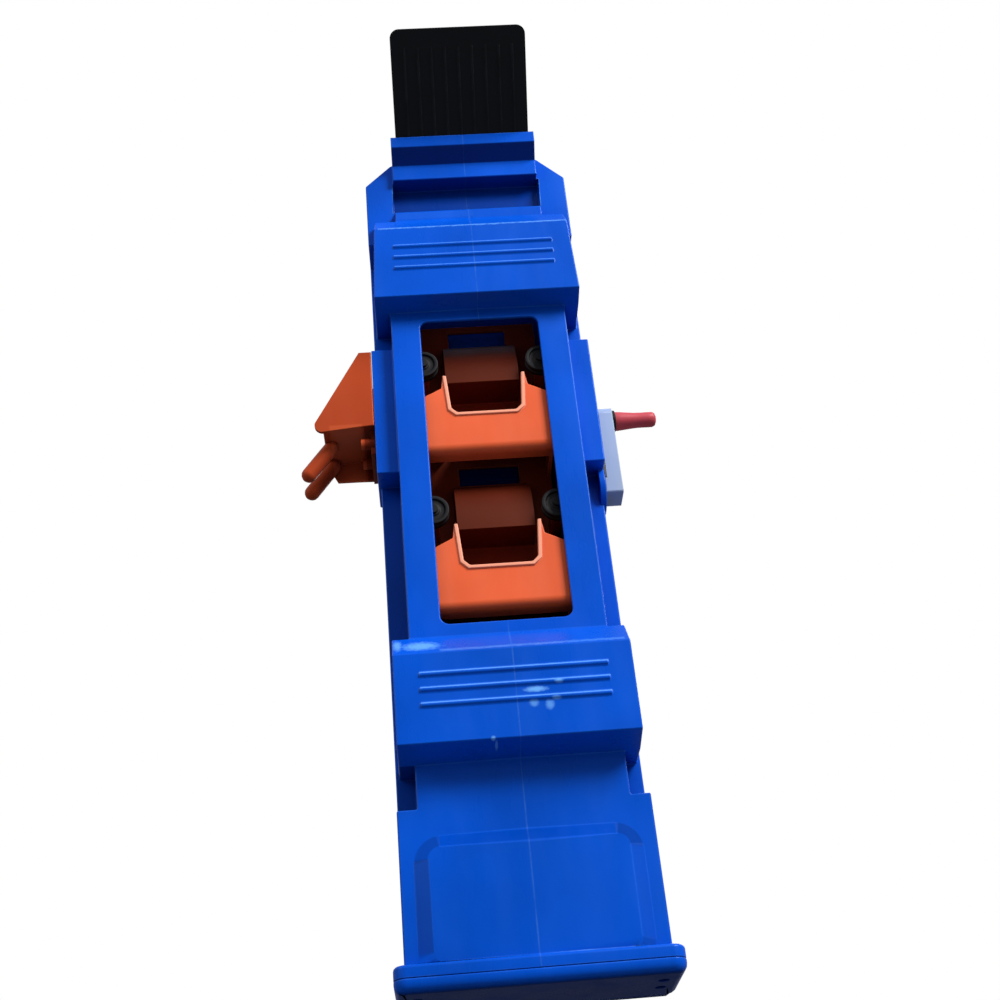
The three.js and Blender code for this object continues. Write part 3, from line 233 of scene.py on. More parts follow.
def streak_group():
    tree = group("streaks", {"Across": 40.0, "Along": 9.0}, {"Mask": FLOAT})
    start = tree.nodes.new("NodeGroupInput")
    end = tree.nodes.new("NodeGroupOutput")
    place = tree.nodes.new("ShaderNodeTexCoord")
    size = tree.nodes.new("ShaderNodeCombineXYZ")
    join(tree, start.outputs["Across"], size.inputs["X"])
    join(tree, start.outputs["Across"], size.inputs["Y"])
    join(tree, start.outputs["Along"], size.inputs["Z"])
    scaled = node(tree, "ShaderNodeVectorMath", operation="MULTIPLY")
    join(tree, place.outputs["Object"], scaled.inputs[0])
    join(tree, size.outputs[0], scaled.inputs[1])
    noise = node(tree, "ShaderNodeTexNoise", Scale=1.0, Detail=5.0, Roughness=0.6)
    join(tree, scaled.outputs[0], noise.inputs["Vector"])
    mask = node(tree, "ShaderNodeMapRange", **{"From Min": STREAK_LOW, "From Max": STREAK_HIGH})
    join(tree, noise.outputs["Fac"], mask.inputs["Value"])
    join(tree, mask.outputs[0], end.inputs["Mask"])
    return tree


# %% Painted shade in the hollows
OPEN_SHARE, CLOSED_SHARE = 0.5, 0.1


def hollow_shading_group():
    tree = group("painted_hollow_shade", {"Reach": 0.07}, {"Mask": FLOAT})
    start = tree.nodes.new("NodeGroupInput")
    end = tree.nodes.new("NodeGroupOutput")
    # Ambient occlusion darkens the hollows: a painted shade
    near = node(tree, "ShaderNodeAmbientOcclusion", samples=6)
    join(tree, start.outputs["Reach"], near.inputs["Distance"])
    closed = node(tree, "ShaderNodeMapRange", **{"From Min": OPEN_SHARE, "From Max": CLOSED_SHARE})
    join(tree, near.outputs["AO"], closed.inputs["Value"])
    join(tree, closed.outputs[0], end.inputs["Mask"])
    return tree


# %% [markdown]
# Some marks belong to one place: painted shade in a hollow that no light reaches, a painted highlight,
# or a scuff where a car hit the casing. A box in the piece's own space marks a zone with soft sides,
# and an ellipsoid marks a round spot. A little noise breaks their outlines up.

# %% Zones of one place
NOISE_MIDDLE = 0.5


def zone_group():
    tree = group("box_zone", {"Soft": 0.004, "Ragged": 0.0}, {"Mask": FLOAT})
    for label in ("Low", "High"):
        tree.interface.new_socket(label, in_out="INPUT", socket_type="NodeSocketVector")
    start = tree.nodes.new("NodeGroupInput")
    end = tree.nodes.new("NodeGroupOutput")
    place = tree.nodes.new("ShaderNodeTexCoord")
    noise = node(tree, "ShaderNodeTexNoise", Scale=260.0, Detail=3.0, Roughness=0.6)
    join(tree, place.outputs["Object"], noise.inputs["Vector"])
    astray = node(tree, "ShaderNodeVectorMath", operation="SUBTRACT")
    join(tree, noise.outputs["Color"], astray.inputs[0])
    astray.inputs[1].default_value = (NOISE_MIDDLE, NOISE_MIDDLE, NOISE_MIDDLE)
    pushed = node(tree, "ShaderNodeVectorMath", operation="SCALE")
    join(tree, astray.outputs[0], pushed.inputs[0])
    join(tree, start.outputs["Ragged"], pushed.inputs["Scale"])
    moved = node(tree, "ShaderNodeVectorMath", operation="ADD")
    join(tree, place.outputs["Object"], moved.inputs[0])
    join(tree, pushed.outputs[0], moved.inputs[1])
    above = node(tree, "ShaderNodeVectorMath", operation="SUBTRACT")
    join(tree, moved.outputs[0], above.inputs[0])
    join(tree, start.outputs["Low"], above.inputs[1])
    below = node(tree, "ShaderNodeVectorMath", operation="SUBTRACT")
    join(tree, start.outputs["High"], below.inputs[0])
    join(tree, moved.outputs[0], below.inputs[1])
    nearer = node(tree, "ShaderNodeVectorMath", operation="MINIMUM")
    join(tree, above.outputs[0], nearer.inputs[0])
    join(tree, below.outputs[0], nearer.inputs[1])
    axes = tree.nodes.new("ShaderNodeSeparateXYZ")
    join(tree, nearer.outputs[0], axes.inputs[0])
    flat = math_node(tree, "MINIMUM", axes.outputs["X"], axes.outputs["Y"])
    least = math_node(tree, "MINIMUM", flat, axes.outputs["Z"])
    inside = node(tree, "ShaderNodeClamp")
    join(tree, math_node(tree, "DIVIDE", least, start.outputs["Soft"]), inside.inputs["Value"])
    join(tree, inside.outputs[0], end.inputs["Mask"])
    return tree


# %% Round spots
SPOT_EDGE, SPOT_CORE = 1.0, 0.35


def spot_group():
    tree = group("round_spot", {"Ragged": 0.0}, {"Mask": FLOAT})
    for label in ("Middle", "Reach"):
        tree.interface.new_socket(label, in_out="INPUT", socket_type="NodeSocketVector")
    start = tree.nodes.new("NodeGroupInput")
    end = tree.nodes.new("NodeGroupOutput")
    place = tree.nodes.new("ShaderNodeTexCoord")
    away = node(tree, "ShaderNodeVectorMath", operation="SUBTRACT")
    join(tree, place.outputs["Object"], away.inputs[0])
    join(tree, start.outputs["Middle"], away.inputs[1])
    shares = node(tree, "ShaderNodeVectorMath", operation="DIVIDE")
    join(tree, away.outputs[0], shares.inputs[0])
    join(tree, start.outputs["Reach"], shares.inputs[1])
    far = node(tree, "ShaderNodeVectorMath", operation="LENGTH")
    join(tree, shares.outputs[0], far.inputs[0])
    noise = node(tree, "ShaderNodeTexNoise", Scale=420.0, Detail=2.0, Roughness=0.6)
    join(tree, place.outputs["Object"], noise.inputs["Vector"])
    astray = math_node(tree, "SUBTRACT", noise.outputs["Fac"], NOISE_MIDDLE)
    torn = math_node(tree, "MULTIPLY", astray, start.outputs["Ragged"])
    fade = node(tree, "ShaderNodeMapRange", **{"From Min": SPOT_EDGE, "From Max": SPOT_CORE})
    join(tree, math_node(tree, "ADD", far.outputs["Value"], torn), fade.inputs["Value"])
    join(tree, fade.outputs[0], end.inputs["Mask"])
    return tree


GRAIN = grain_group()
HOLLOW_SHADING = hollow_shading_group()
ZONE = zone_group()
SPOT = spot_group()
WEAR = wear_group()
STREAKS = streak_group()
print("groups", [tree.name for tree in bpy.data.node_groups])


# %% [markdown]
# A moulded plastic is one Principled shader. Its colour drifts a little with the
# cloud of the grain, pales along worn edges and in the streaks, and its roughness
# rises where it was rubbed. The fine grain and the slight waviness of a moulded
# wall go into a bump, small enough to leave the highlights whole.

# %% A moulded plastic
GLOSS = 0.2
GRAIN_AMOUNT = 0.12
CLOUD_LOW, CLOUD_HIGH = 0.3, 0.7
DRIFT_DARK, DRIFT_LIGHT = 0.86, 1.1
STREAK_PALES, WEAR_PALES = 0.10, 0.55
STREAK_ROUGHENS, WEAR_ROUGHENS = 0.14, 0.2
OWN_SHADE = 0.12
RELIEF_STRENGTH, RELIEF_DEPTH = 0.5, 0.12 * MM


def zones_over(tree, mask, zones):
    """Adds zones to a mask: two corners, softness and raggedness in millimetres, strength."""
    for low, high, soft, ragged, strength in zones:
        zone = node(tree, "ShaderNodeGroup", node_tree=ZONE, Soft=soft * MM, Ragged=ragged * MM)
        zone.inputs["Low"].default_value = Vector(low) * MM
        zone.inputs["High"].default_value = Vector(high) * MM
        marked = math_node(tree, "MULTIPLY", zone.outputs["Mask"], strength)
        mask = math_node(tree, "MAXIMUM", mask, marked)
    return mask


def spots_over(tree, mask, spots):
    """Adds round spots to a mask: middle and reach in millimetres, raggedness, strength."""
    for middle, reach, ragged, strength in spots:
        spot = node(tree, "ShaderNodeGroup", node_tree=SPOT, Ragged=ragged)
        spot.inputs["Middle"].default_value = Vector(middle) * MM
        spot.inputs["Reach"].default_value = Vector(reach) * MM
        marked = math_node(tree, "MULTIPLY", spot.outputs["Mask"], strength)
        mask = math_node(tree, "MAXIMUM", mask, marked)
    return mask


def plastic(
    name, colour, roughness, wear_and_highlight, streaked, shade_strength=0.92, shade=None, tint=None,
    calm=(), painted_shade=(), painted_light=(), spots=(),
):
    """A moulded plastic in a colour, with edges and streaks of two more colours.

    The hollows are darkened towards the shade colour by the strength given, a painted shade, and tint
    is the colour of the gloss. In the calm zones the edges show less wear. The zones of painted shade
    are darkened the same way, and the zones of painted light take the wear colour as painted highlights
    and painted light. The spots are scuffs and painted highlights."""
    material = bpy.data.materials.new(name)
    material.use_nodes = True
    tree = material.node_tree
    shader = tree.nodes["Principled BSDF"]
    shader.inputs["Specular IOR Level"].default_value = GLOSS
    shader.inputs["Specular Tint"].default_value = (*(tint or (1, 1, 1)), 1)
    grains = node(tree, "ShaderNodeGroup", node_tree=GRAIN, Amount=GRAIN_AMOUNT)
    wear = node(tree, "ShaderNodeGroup", node_tree=WEAR)
    shade_in_hollows = node(tree, "ShaderNodeGroup", node_tree=HOLLOW_SHADING)
    streaks = node(tree, "ShaderNodeGroup", node_tree=STREAKS)
    drift = node(tree, "ShaderNodeMapRange", **{"From Min": CLOUD_LOW, "From Max": CLOUD_HIGH})
    join(tree, grains.outputs["Cloud"], drift.inputs["Value"])
    darker = tuple(DRIFT_DARK * part for part in colour)
    lighter = tuple(min(1, DRIFT_LIGHT * part) for part in colour)
    base = mixed(tree, darker, lighter)
    join(tree, drift.outputs[0], base.inputs["Factor"])
    streaky = mixed(tree, None, streaked)
    join(tree, base.outputs["Result"], streaky.inputs["A"])
    streak_share = math_node(tree, "MULTIPLY", streaks.outputs["Mask"], STREAK_PALES)
    join(tree, streak_share, streaky.inputs["Factor"])
    paled = mixed(tree, None, wear_and_highlight)
    join(tree, streaky.outputs["Result"], paled.inputs["A"])
    worn_edges = math_node(tree, "MULTIPLY", wear.outputs["Mask"], WEAR_PALES)
    if calm:
        fresh = math_node(tree, "SUBTRACT", 1, zones_over(tree, 0, calm))
        worn_edges = math_node(tree, "MULTIPLY", worn_edges, fresh)
    worn_and_lit = spots_over(tree, zones_over(tree, worn_edges, painted_light), spots)
    join(tree, worn_and_lit, paled.inputs["Factor"])
    shade_mixed = mixed(tree, None, shade or tuple(OWN_SHADE * part for part in colour))
    join(tree, paled.outputs["Result"], shade_mixed.inputs["A"])
    hollow = zones_over(tree, math_node(tree, "MULTIPLY", shade_in_hollows.outputs["Mask"], shade_strength), painted_shade)
    join(tree, hollow, shade_mixed.inputs["Factor"])
    join(tree, shade_mixed.outputs["Result"], shader.inputs["Base Color"])
    rubbed = math_node(tree, "MULTIPLY", streaks.outputs["Mask"], STREAK_ROUGHENS)
    edges = math_node(tree, "MULTIPLY", wear.outputs["Mask"], WEAR_ROUGHENS)
    rough = math_node(tree, "ADD", math_node(tree, "ADD", rubbed, edges), roughness)
    join(tree, rough, shader.inputs["Roughness"])
    relief = node(tree, "ShaderNodeBump", Strength=RELIEF_STRENGTH, Distance=RELIEF_DEPTH)
    join(tree, grains.outputs["Height"], relief.inputs["Height"])
    join(tree, relief.outputs["Normal"], shader.inputs["Normal"])
    return material


def mixed(tree, first, second):
    """A colour mix, whose first colour may come from a link."""
    mix = tree.nodes.new("ShaderNodeMix")
    mix.data_type = "RGBA"
    sockets = {socket.identifier: socket for socket in list(mix.inputs) + list(mix.outputs)}
    if first:
        sockets["A_Color"].default_value = (*first, 1)
    sockets["B_Color"].default_value = (*second, 1)

    class Mix:
        inputs = {"Factor": sockets["Factor_Float"], "A": sockets["A_Color"], "B": sockets["B_Color"]}
        outputs = {"Result": sockets["Result_Color"]}

    return Mix


# %% The finishes of the tower
# A zone is written as low corner, high corner, softness, raggedness, strength, and a
# spot as middle, reach, raggedness, strength. Places and reaches are in millimetres.
BLUE = (0.0, 0.078, 0.58)
BLUE_SHADE = (0.0, 0.003, 0.085)
BLUE_GLOSS = (0.4, 0.72, 1.0)
ORANGE_GLOSS = (1.0, 0.5, 0.35)
ORANGE = (0.78, 0.115, 0.035)
# A darker copy of the orange for the chute: a painted shade
SHADED_CHUTE_ORANGE = (0.42, 0.054, 0.014)
# A darker copy of the orange for the carriage plate: a painted shade
SHADED_ORANGE = (0.34, 0.042, 0.014)
BLACK = (0.003, 0.004, 0.006)
RUBBER = (0.006, 0.006, 0.007)
SILVER = (0.31, 0.40, 0.58)
RED = (0.52, 0.06, 0.08)
NYLON = (0.62, 0.61, 0.56)

# Painted shade on the casing, in the hollows that no light reaches and on two slopes
BLUE_PAINTED_SHADE = (
    # The recess under the cornice, and its inner part
    ((-57, -25.6, 579.5), (57, -11, 612.5), 0.8, 0, 0.62),
    ((-57, -25.6, 583), (57, -11, 606), 2, 0, 0.85),
    # The underside of the first step of the cornice
    ((-57, -39, 625.6), (57, -25.2, 634.8), 0.3, 0, 0.72),
    # The slopes of the raised field, at the top and on the right, darkened as painted shade
    ((-69, -21.85, 75), (69, -16.05, 92), 0.6, 0, 0.3),
    ((50, -21.85, 17), (69, -16.05, 78), 0.6, 0, 0.2),
    # The inside of the casing
    ((-61.5, -19.2, 206), (61.5, 36.4, 486), 0.5, 0, 0.92),
    # The left shoulder and the left notch
    ((-78.5, -21.8, 218), (-64.0, 8.4, 353), 0.5, 0, 0.65),
    ((-78.5, -15.5, 109.2), (-64.4, 8.4, 141.5), 0.5, 0, 0.6),
)
# A painted highlight on the upper slope of every rib, above the low end of the rib
RIB_LOWS = (164.8, 175.0, 185.2, 511.05, 521.25, 531.45)
RIB_HALF = 59.6
RIB_SLOPE_LOW, RIB_SLOPE_HIGH = 2.5, 4.3
RIB_HIGHLIGHTS = tuple(
    ((-RIB_HALF, -40, low + RIB_SLOPE_LOW), (RIB_HALF, -38.1, low + RIB_SLOPE_HIGH), 0.5, 0.3, 0.6)
    for low in RIB_LOWS
)
BLUE_HIGHLIGHTS = RIB_HIGHLIGHTS + (
    # Painted highlights on the crest of the upper block, the ledge above it and the crest of the lower
    # block
    ((-70, -38.3, 550.9), (72, -36.6, 553), 0.6, 1.5, 0.55),
    ((-56, -27.5, 571), (4, -25.5, 577.4), 6, 0, 0.3),
    ((-46, -37.9, 202.2), (72, -34.4, 206), 2.4, 3, 0.42),
)
SCUFFS_AND_HIGHLIGHT = (
    # Between the ribs of the lower block
    ((12.3, -38, 172.5), (8.6, 3, 2.4), 0.5, 0.95),
    ((27, -38.5, 177.2), (3.6, 3, 2.2), 0.5, 0.8),
    ((10.3, -38, 163.4), (3.6, 3, 3.2), 0.6, 0.55),
    ((20, -38, 161.8), (3.4, 3, 4.2), 0.6, 0.6),
    ((24.5, -38.5, 165.8), (3.6, 3, 1.8), 0.5, 0.5),
    # On the lower edge of that block
    ((-16.4, -37.6, 142), (1.9, 3, 2.2), 0.4, 0.95),
    ((-14.6, -31, 140.4), (1.2, 9, 2.4), 0.5, 0.6),
    # A painted highlight on the left of its upper slope
    ((-57, -31, 210), (15, 8, 7.5), 0.8, 0.7),
    ((-71.6, -29.5, 212), (3.4, 10, 10), 0.7, 0.65),
)
SEAM_CALM = (((-1.5, -60, 0), (1.5, 60, 700), 0.1, 0, 0.6),)
BLUE_WEAR_AND_LIGHT = {"wear_and_highlight": (0.16, 0.44, 0.95), "streaked": (0.02, 0.15, 0.78), "roughness": 0.27}
blue = plastic(
    "blue_casing", BLUE, shade=BLUE_SHADE, tint=BLUE_GLOSS,
    calm=SEAM_CALM, painted_shade=BLUE_PAINTED_SHADE, painted_light=BLUE_HIGHLIGHTS, spots=SCUFFS_AND_HIGHLIGHT, **BLUE_WEAR_AND_LIGHT,
)
blue_foot = plastic("blue_foot", BLUE, shade_strength=0.0, tint=BLUE_GLOSS, **BLUE_WEAR_AND_LIGHT)

# Painted highlights on the beads round the notches of the trays, and painted shade on the hoods that
# hang in the dark
TRAY_BEAD_HIGHLIGHTS = (
    ((-30, -25, 270), (30, -17.75, 311), 0.2, 0, 0.6),
    ((-30, -25, 393), (30, -17.75, 434), 0.2, 0, 0.6),
)
HOOD_SHADE = (((-30, -20, 206), (30, 23.6, 500), 0.6, 0, 0.84),)
orange = plastic(
    "orange_tray", ORANGE, roughness=0.36, wear_and_highlight=(0.96, 0.5, 0.34), streaked=(0.9, 0.28, 0.14),
    shade_strength=0.8, shade=(0.12, 0.006, 0.002), painted_light=TRAY_BEAD_HIGHLIGHTS,
)

# The chute has painted shade where it meets the casing and a little painted light under its floor
CHUTE_FOOT_SHADE = (((-87.5, -12, 370), (-76, 37, 395.4), 0.6, 0, 0.7),)
CHUTE_UNDER_LIGHT = (((-112, -13, 368), (-88, 37, 395.4), 1.5, 0, 0.3),)
orange_chute = plastic(
    "orange_chute", SHADED_CHUTE_ORANGE, roughness=0.38, wear_and_highlight=(0.8, 0.16, 0.06),
    streaked=(0.5, 0.1, 0.035), shade_strength=0.45, shade=(0.09, 0.004, 0.002), tint=ORANGE_GLOSS,
    painted_shade=CHUTE_FOOT_SHADE, painted_light=CHUTE_UNDER_LIGHT,
)
shaded_orange = plastic(
    "orange_carriage", SHADED_ORANGE, roughness=0.45, wear_and_highlight=(0.6, 0.2, 0.1),
    streaked=(0.42, 0.08, 0.035), shade_strength=0.7, tint=ORANGE_GLOSS, painted_shade=HOOD_SHADE,
)
black = plastic(
    "black_flap", BLACK, roughness=0.46, wear_and_highlight=(0.045, 0.048, 0.055), streaked=(0.012, 0.015, 0.02),
)
rubber = plastic(
    "roller_rubber", RUBBER, roughness=0.5, wear_and_highlight=(0.03, 0.03, 0.033),
    streaked=(0.014, 0.014, 0.016),
)
silver = plastic(
    "silver_crank", SILVER, roughness=0.34, wear_and_highlight=(0.7, 0.72, 0.76), streaked=(0.56, 0.6, 0.68),
)
red = plastic("red_grip", RED, roughness=0.4, wear_and_highlight=(0.6, 0.2, 0.2), streaked=(0.45, 0.06, 0.08))
nylon = plastic(
    "grey_nylon", NYLON, roughness=0.5, wear_and_highlight=(0.75, 0.74, 0.7), streaked=(0.66, 0.65, 0.6),
)


# %% A plated metal
MARKS_SCALE, MARKS_DARKEN, MARKS_ROUGHEN = 700.0, 0.7, 0.25
MARKS_STRENGTH, MARKS_DEPTH = 0.3, 0.05 * MM


def metal(name, colour, roughness):
    """A zinc plated steel with fine turning marks."""
    material = bpy.data.materials.new(name)
    material.use_nodes = True
    tree = material.node_tree
    shader = tree.nodes["Principled BSDF"]
    shader.inputs["Metallic"].default_value = 1.0
    place = tree.nodes.new("ShaderNodeTexCoord")
    marks = node(tree, "ShaderNodeTexNoise", Scale=MARKS_SCALE, Detail=4.0, Roughness=0.7)
    join(tree, place.outputs["Object"], marks.inputs["Vector"])
    tone = mixed(tree, tuple(MARKS_DARKEN * part for part in colour), colour)
    join(tree, marks.outputs["Fac"], tone.inputs["Factor"])
    join(tree, tone.outputs["Result"], shader.inputs["Base Color"])
    rubbed = math_node(tree, "MULTIPLY", marks.outputs["Fac"], MARKS_ROUGHEN)
    rough = math_node(tree, "ADD", rubbed, roughness)
    join(tree, rough, shader.inputs["Roughness"])
    relief = node(tree, "ShaderNodeBump", Strength=MARKS_STRENGTH, Distance=MARKS_DEPTH)
    join(tree, marks.outputs["Fac"], relief.inputs["Height"])
    join(tree, relief.outputs["Normal"], shader.inputs["Normal"])
    return material


steel = metal("zinc_steel", (0.62, 0.63, 0.64), 0.22)
FINISH = {
    "blue_plastic": blue,
    "orange_plastic": orange,
    "black_plastic": black,
    "roller_rubber": rubber,
    "grey_nylon": nylon,
    "silver_plastic": silver,
    "red_plastic": red,
    "steel": steel,
}
node_slots = {part["node"]: part["material_slot"] for part in frame["record"]["subparts"]}


def finish_of(name):
    """The finish of a node. The pins of the rollers are as dark as the rubber round them."""
    return rubber if name.startswith("roller_pin") else FINISH[node_slots[name]]


for name in node_slots:
    mesh = frame["nodes"][name].data
    mesh.materials.clear()
    mesh.materials.append(finish_of(name))
print("finished", len(node_slots), "nodes")


# %% [markdown]
# Real mouldings have no razor edges. Each visible part is a copy of its construction
# solid, welded and freed of the triangles on its flat faces, then its outer edges
# are rounded by a bevel whose width is chosen edge by edge, and the shading is
# weighted so that the large faces stay flat.

# %% Helpers for modelling
# Lengths are in millimetres here, and shares and weights have no unit
WELD = 0.002
FLAT_TURN = math.radians(0.6)
SMOOTH_TURN = math.radians(37)
WIDEST = 10.0
SHARP = math.radians(24)
ROUND = math.radians(40)
SHORT = 25.0
SPARE = 0.42
ROOMY = 0.7
ONWARD = 0.8


def only(piece):
    """Selects one piece alone and makes it the active one."""
    bpy.ops.object.select_all(action="DESELECT")
    piece.select_set(True)
    bpy.context.view_layer.objects.active = piece


def copied(node_name, name):
    """A welded copy of a construction solid, without the triangles on its flat faces."""
    piece = bpy.data.objects.new(name, frame["nodes"][node_name].data.copy())
    bpy.context.scene.collection.objects.link(piece)
    only(piece)
    bpy.ops.object.mode_set(mode="EDIT")
    bpy.ops.mesh.select_all(action="SELECT")
    bpy.ops.mesh.remove_doubles(threshold=WELD * MM)
    bpy.ops.mesh.dissolve_limited(angle_limit=FLAT_TURN)
    bpy.ops.object.mode_set(mode="OBJECT")
    return piece


def room_beside(edge, spare):
    """The widest bevel that the edges which branch off this one leave room for.

    An edge that only carries the line on round a corner takes nothing away."""
    along = (edge.verts[1].co - edge.verts[0].co).normalized()
    room = WIDEST
    for corner in edge.verts:
        for other in corner.link_edges:
            away = (other.other_vert(corner).co - corner.co).normalized()
            if abs(away.dot(along)) < ONWARD:
                room = min(room, spare * other.calc_length() / MM)
    return room


def wide(width, least):
    """A rule that rounds every edge longer than the least length by one width."""
    return lambda edge, middle: width if edge.calc_length() > least * MM else 0


def weigh_edges(piece, width_of, spare=SPARE):
    """Gives each sharp edge the bevel width that width_of returns for it.

    Short edges of a moderate turn are facets of round forms and stay as they are. The
    width keeps under a share of the shortest edge that branches off, so no bevel folds."""
    shape = bmesh.new()
    shape.from_mesh(piece.data)
    layer = shape.edges.layers.float.new("bevel_weight_edge")
    for edge in shape.edges:
        if len(edge.link_faces) != 2:
            continue
        turn = edge.calc_face_angle()
        if turn > ROUND or turn > SHARP and edge.calc_length() > SHORT * MM:
            middle = (edge.verts[0].co + edge.verts[1].co) / 2 / MM
            edge[layer] = min(width_of(edge, middle), room_beside(edge, spare)) / WIDEST
    shape.to_mesh(piece.data)
    shape.free()


def bevelled(piece, segments=3):
    """Rounds the weighed edges of a piece and keeps the shading of its large faces flat."""
    only(piece)
    bevel = piece.modifiers.new("rounded_edges", "BEVEL")
    bevel.limit_method = "WEIGHT"
    bevel.width = WIDEST * MM
    bevel.segments = segments
    bevel.use_clamp_overlap = False
    bevel.miter_outer = "MITER_ARC"
    bpy.ops.object.modifier_apply(modifier=bevel.name)
    bpy.ops.object.shade_smooth_by_angle(angle=SMOOTH_TURN)
    weights = piece.modifiers.new("flat_faces", "WEIGHTED_NORMAL")
    weights.keep_sharp = True
    bpy.ops.object.modifier_apply(modifier=weights.name)


def finished(piece, node_name, material):
    """Gives a piece its finish and lets it stand for its node."""
    piece.data.materials.clear()
    piece.data.materials.append(material)
    bodies = frame["record"]["behaviour"]["bodies"]
    body = next(body for body, names in bodies.items() if node_name in names)
    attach(piece, body)
    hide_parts(node_name)
    print(piece.name, "faces", len(piece.data.polygons), "rides on", body)


# %% [markdown]
# The casing is moulded in two halves that meet on its middle plane. In the real toy
# they close up to a hair line, so the left half's lip is drawn over to the right one
# and the line itself is left to the material. The flange at the foot takes a wider
# bevel along its top than the rest. The ribs of the two blocks are so small that their
# bevel turns them almost round.

# %% The casing halves
SEAM_HALF = 0.15
SEAM_DRAW = 0.28
SEAM_REACH = 0.02
FLANGE_TOP = 16
BLOCK_FRONT = -38
FIELD_FRONT = -21.9
PANEL_FRONT = -15.9
FIELD_TOP = 93
FLANGE_SIDE, FLANGE_FRONT = 79, -24
NEAR = 0.1
TINY = 1
RIB_EDGE, FLANGE_ROLL, PARTING_EDGE, FIELD_EDGE, CASING_EDGE = 0.55, 2.4, 0.7, 1.2, 0.9


def on_flange(middle):
    """Whether an edge with this middle lies on the rim of the foot."""
    return abs(middle.x) > FLANGE_SIDE or middle.y < FLANGE_FRONT


def casing_width(edge, middle):
    """How far an edge of the casing is rounded."""
    if abs(middle.x) < SEAM_HALF + NEAR / 2:
        return 0
    if middle.y < BLOCK_FRONT - 2 * NEAR:
        return RIB_EDGE
    if edge.calc_length() / MM < TINY:
        return 0
    if middle.z < FLANGE_TOP + NEAR and on_flange(middle):
        return FLANGE_ROLL if middle.z > FLANGE_TOP - NEAR else PARTING_EDGE
    on_field = FIELD_FRONT - 2 * NEAR < middle.y < PANEL_FRONT + 2 * NEAR
    if on_field and FLANGE_TOP + TINY < middle.z < FIELD_TOP:
        return FIELD_EDGE
    return CASING_EDGE


for node_name, name in (("left_shell", "casing_left"), ("right_shell", "casing_right")):
    casing = copied(node_name, name)
    weigh_edges(casing, casing_width, ROOMY)
    bevelled(casing)
    if node_name == "left_shell":
        for corner in casing.data.vertices:
            if abs(corner.co.x / MM + SEAM_HALF) < SEAM_REACH:
                corner.co.x += SEAM_DRAW * MM
    finished(casing, node_name, blue)


# %% [markdown]
# The base plate closes the foot from below and shares the flange's outline, so the
# two read as one roll with a parting line. The back panel closes the casing behind.

# %% The base plate and the back panel
FOOT_ROLL, FOOT_EDGE = 6, 0.5
PLATE_SEGMENTS = 4


def base_width(edge, middle):
    """The lower rim of the base plate is rounded widely, the parting line a little."""
    if on_flange(middle):
        return FOOT_ROLL if middle.z < NEAR else PARTING_EDGE
    return wide(FOOT_EDGE, 2)(edge, middle)


for node_name, name, width_of, material in (
    ("base_plate", "foot_plate", base_width, blue_foot),
    ("back_panel", "rear_cover", wide(0.7, 3), blue),
):
    plate = copied(node_name, name)
    weigh_edges(plate, width_of, ROOMY)
    bevelled(plate, PLATE_SEGMENTS)
    finished(plate, node_name, material)


# %% [markdown]
# The lift is moulded in orange: two trays with a notched front, and the plate behind
# them with a hood for each car. Their free edges are beads, so they are rounded more
# than the inner ones.

# %% The trays and their back plate
TRAY_FRONT = -13
LOWER_ROLL_BELOW = 262
UPPER_ROLL_BETWEEN = (330, 385)
TRAY_LEAST, BEAD_LEAST, ROLL_LEAST = 2, 4, 60
TRAY_ROLL, BEAD_EDGE, TRAY_EDGE = 6, 0.9, 0.4


def tray_width(edge, middle):
    """Rounds the long edges of a tray, the lowest one of its front the most."""
    length = edge.calc_length() / MM
    if length < TRAY_LEAST:
        return 0
    low, high = UPPER_ROLL_BETWEEN
    lowest = middle.z < LOWER_ROLL_BELOW or low < middle.z < high
    if middle.y < TRAY_FRONT and length > ROLL_LEAST and lowest:
        return TRAY_ROLL
    return BEAD_EDGE if middle.y < TRAY_FRONT and length > BEAD_LEAST else TRAY_EDGE


for node_name, name in (("lower_tray", "car_tray_lower"), ("upper_tray", "car_tray_upper")):
    tray = copied(node_name, name)
    weigh_edges(tray, tray_width)
    bevelled(tray)
    finished(tray, node_name, orange)

plate = copied("lift_back_plate", "carriage_plate")
weigh_edges(plate, wide(0.5, 3))
bevelled(plate)
finished(plate, "lift_back_plate", shaded_orange)


# %% [markdown]
# The chute is one moulding: a sloped floor between two cheeks, and an apron with two
# round fingers below. The flap and the crank arm are copies with soft edges as well.

# %% The chute, the flap, the crank arm and its collar
for node_name, name, material, width_of, segments in (
    ("exit_chute", "side_chute", orange_chute, wide(1.0, 3), 4),
    ("top_flap", "roof_flap", black, wide(0.35, 2), 3),
    ("crank_arm", "crank_lever", silver, wide(1.1, 2), 4),
    ("grip_collar", "grip_ring", black, wide(0.5, 1), 3),
):
    part = copied(node_name, name)
    weigh_edges(part, width_of)
    bevelled(part, segments)
    finished(part, node_name, material)


# %% [markdown]
# The four rollers run in the rails behind the window. A roller is a rubber tyre on a
# hub: a cylinder whose ends are inset and sunk into a hub recess, with a raised boss
# in the middle, and a bore bridged between the two bosses. A shallow tread groove is
# cut by two bisecting planes and a scale. One is modelled, then copied four times.

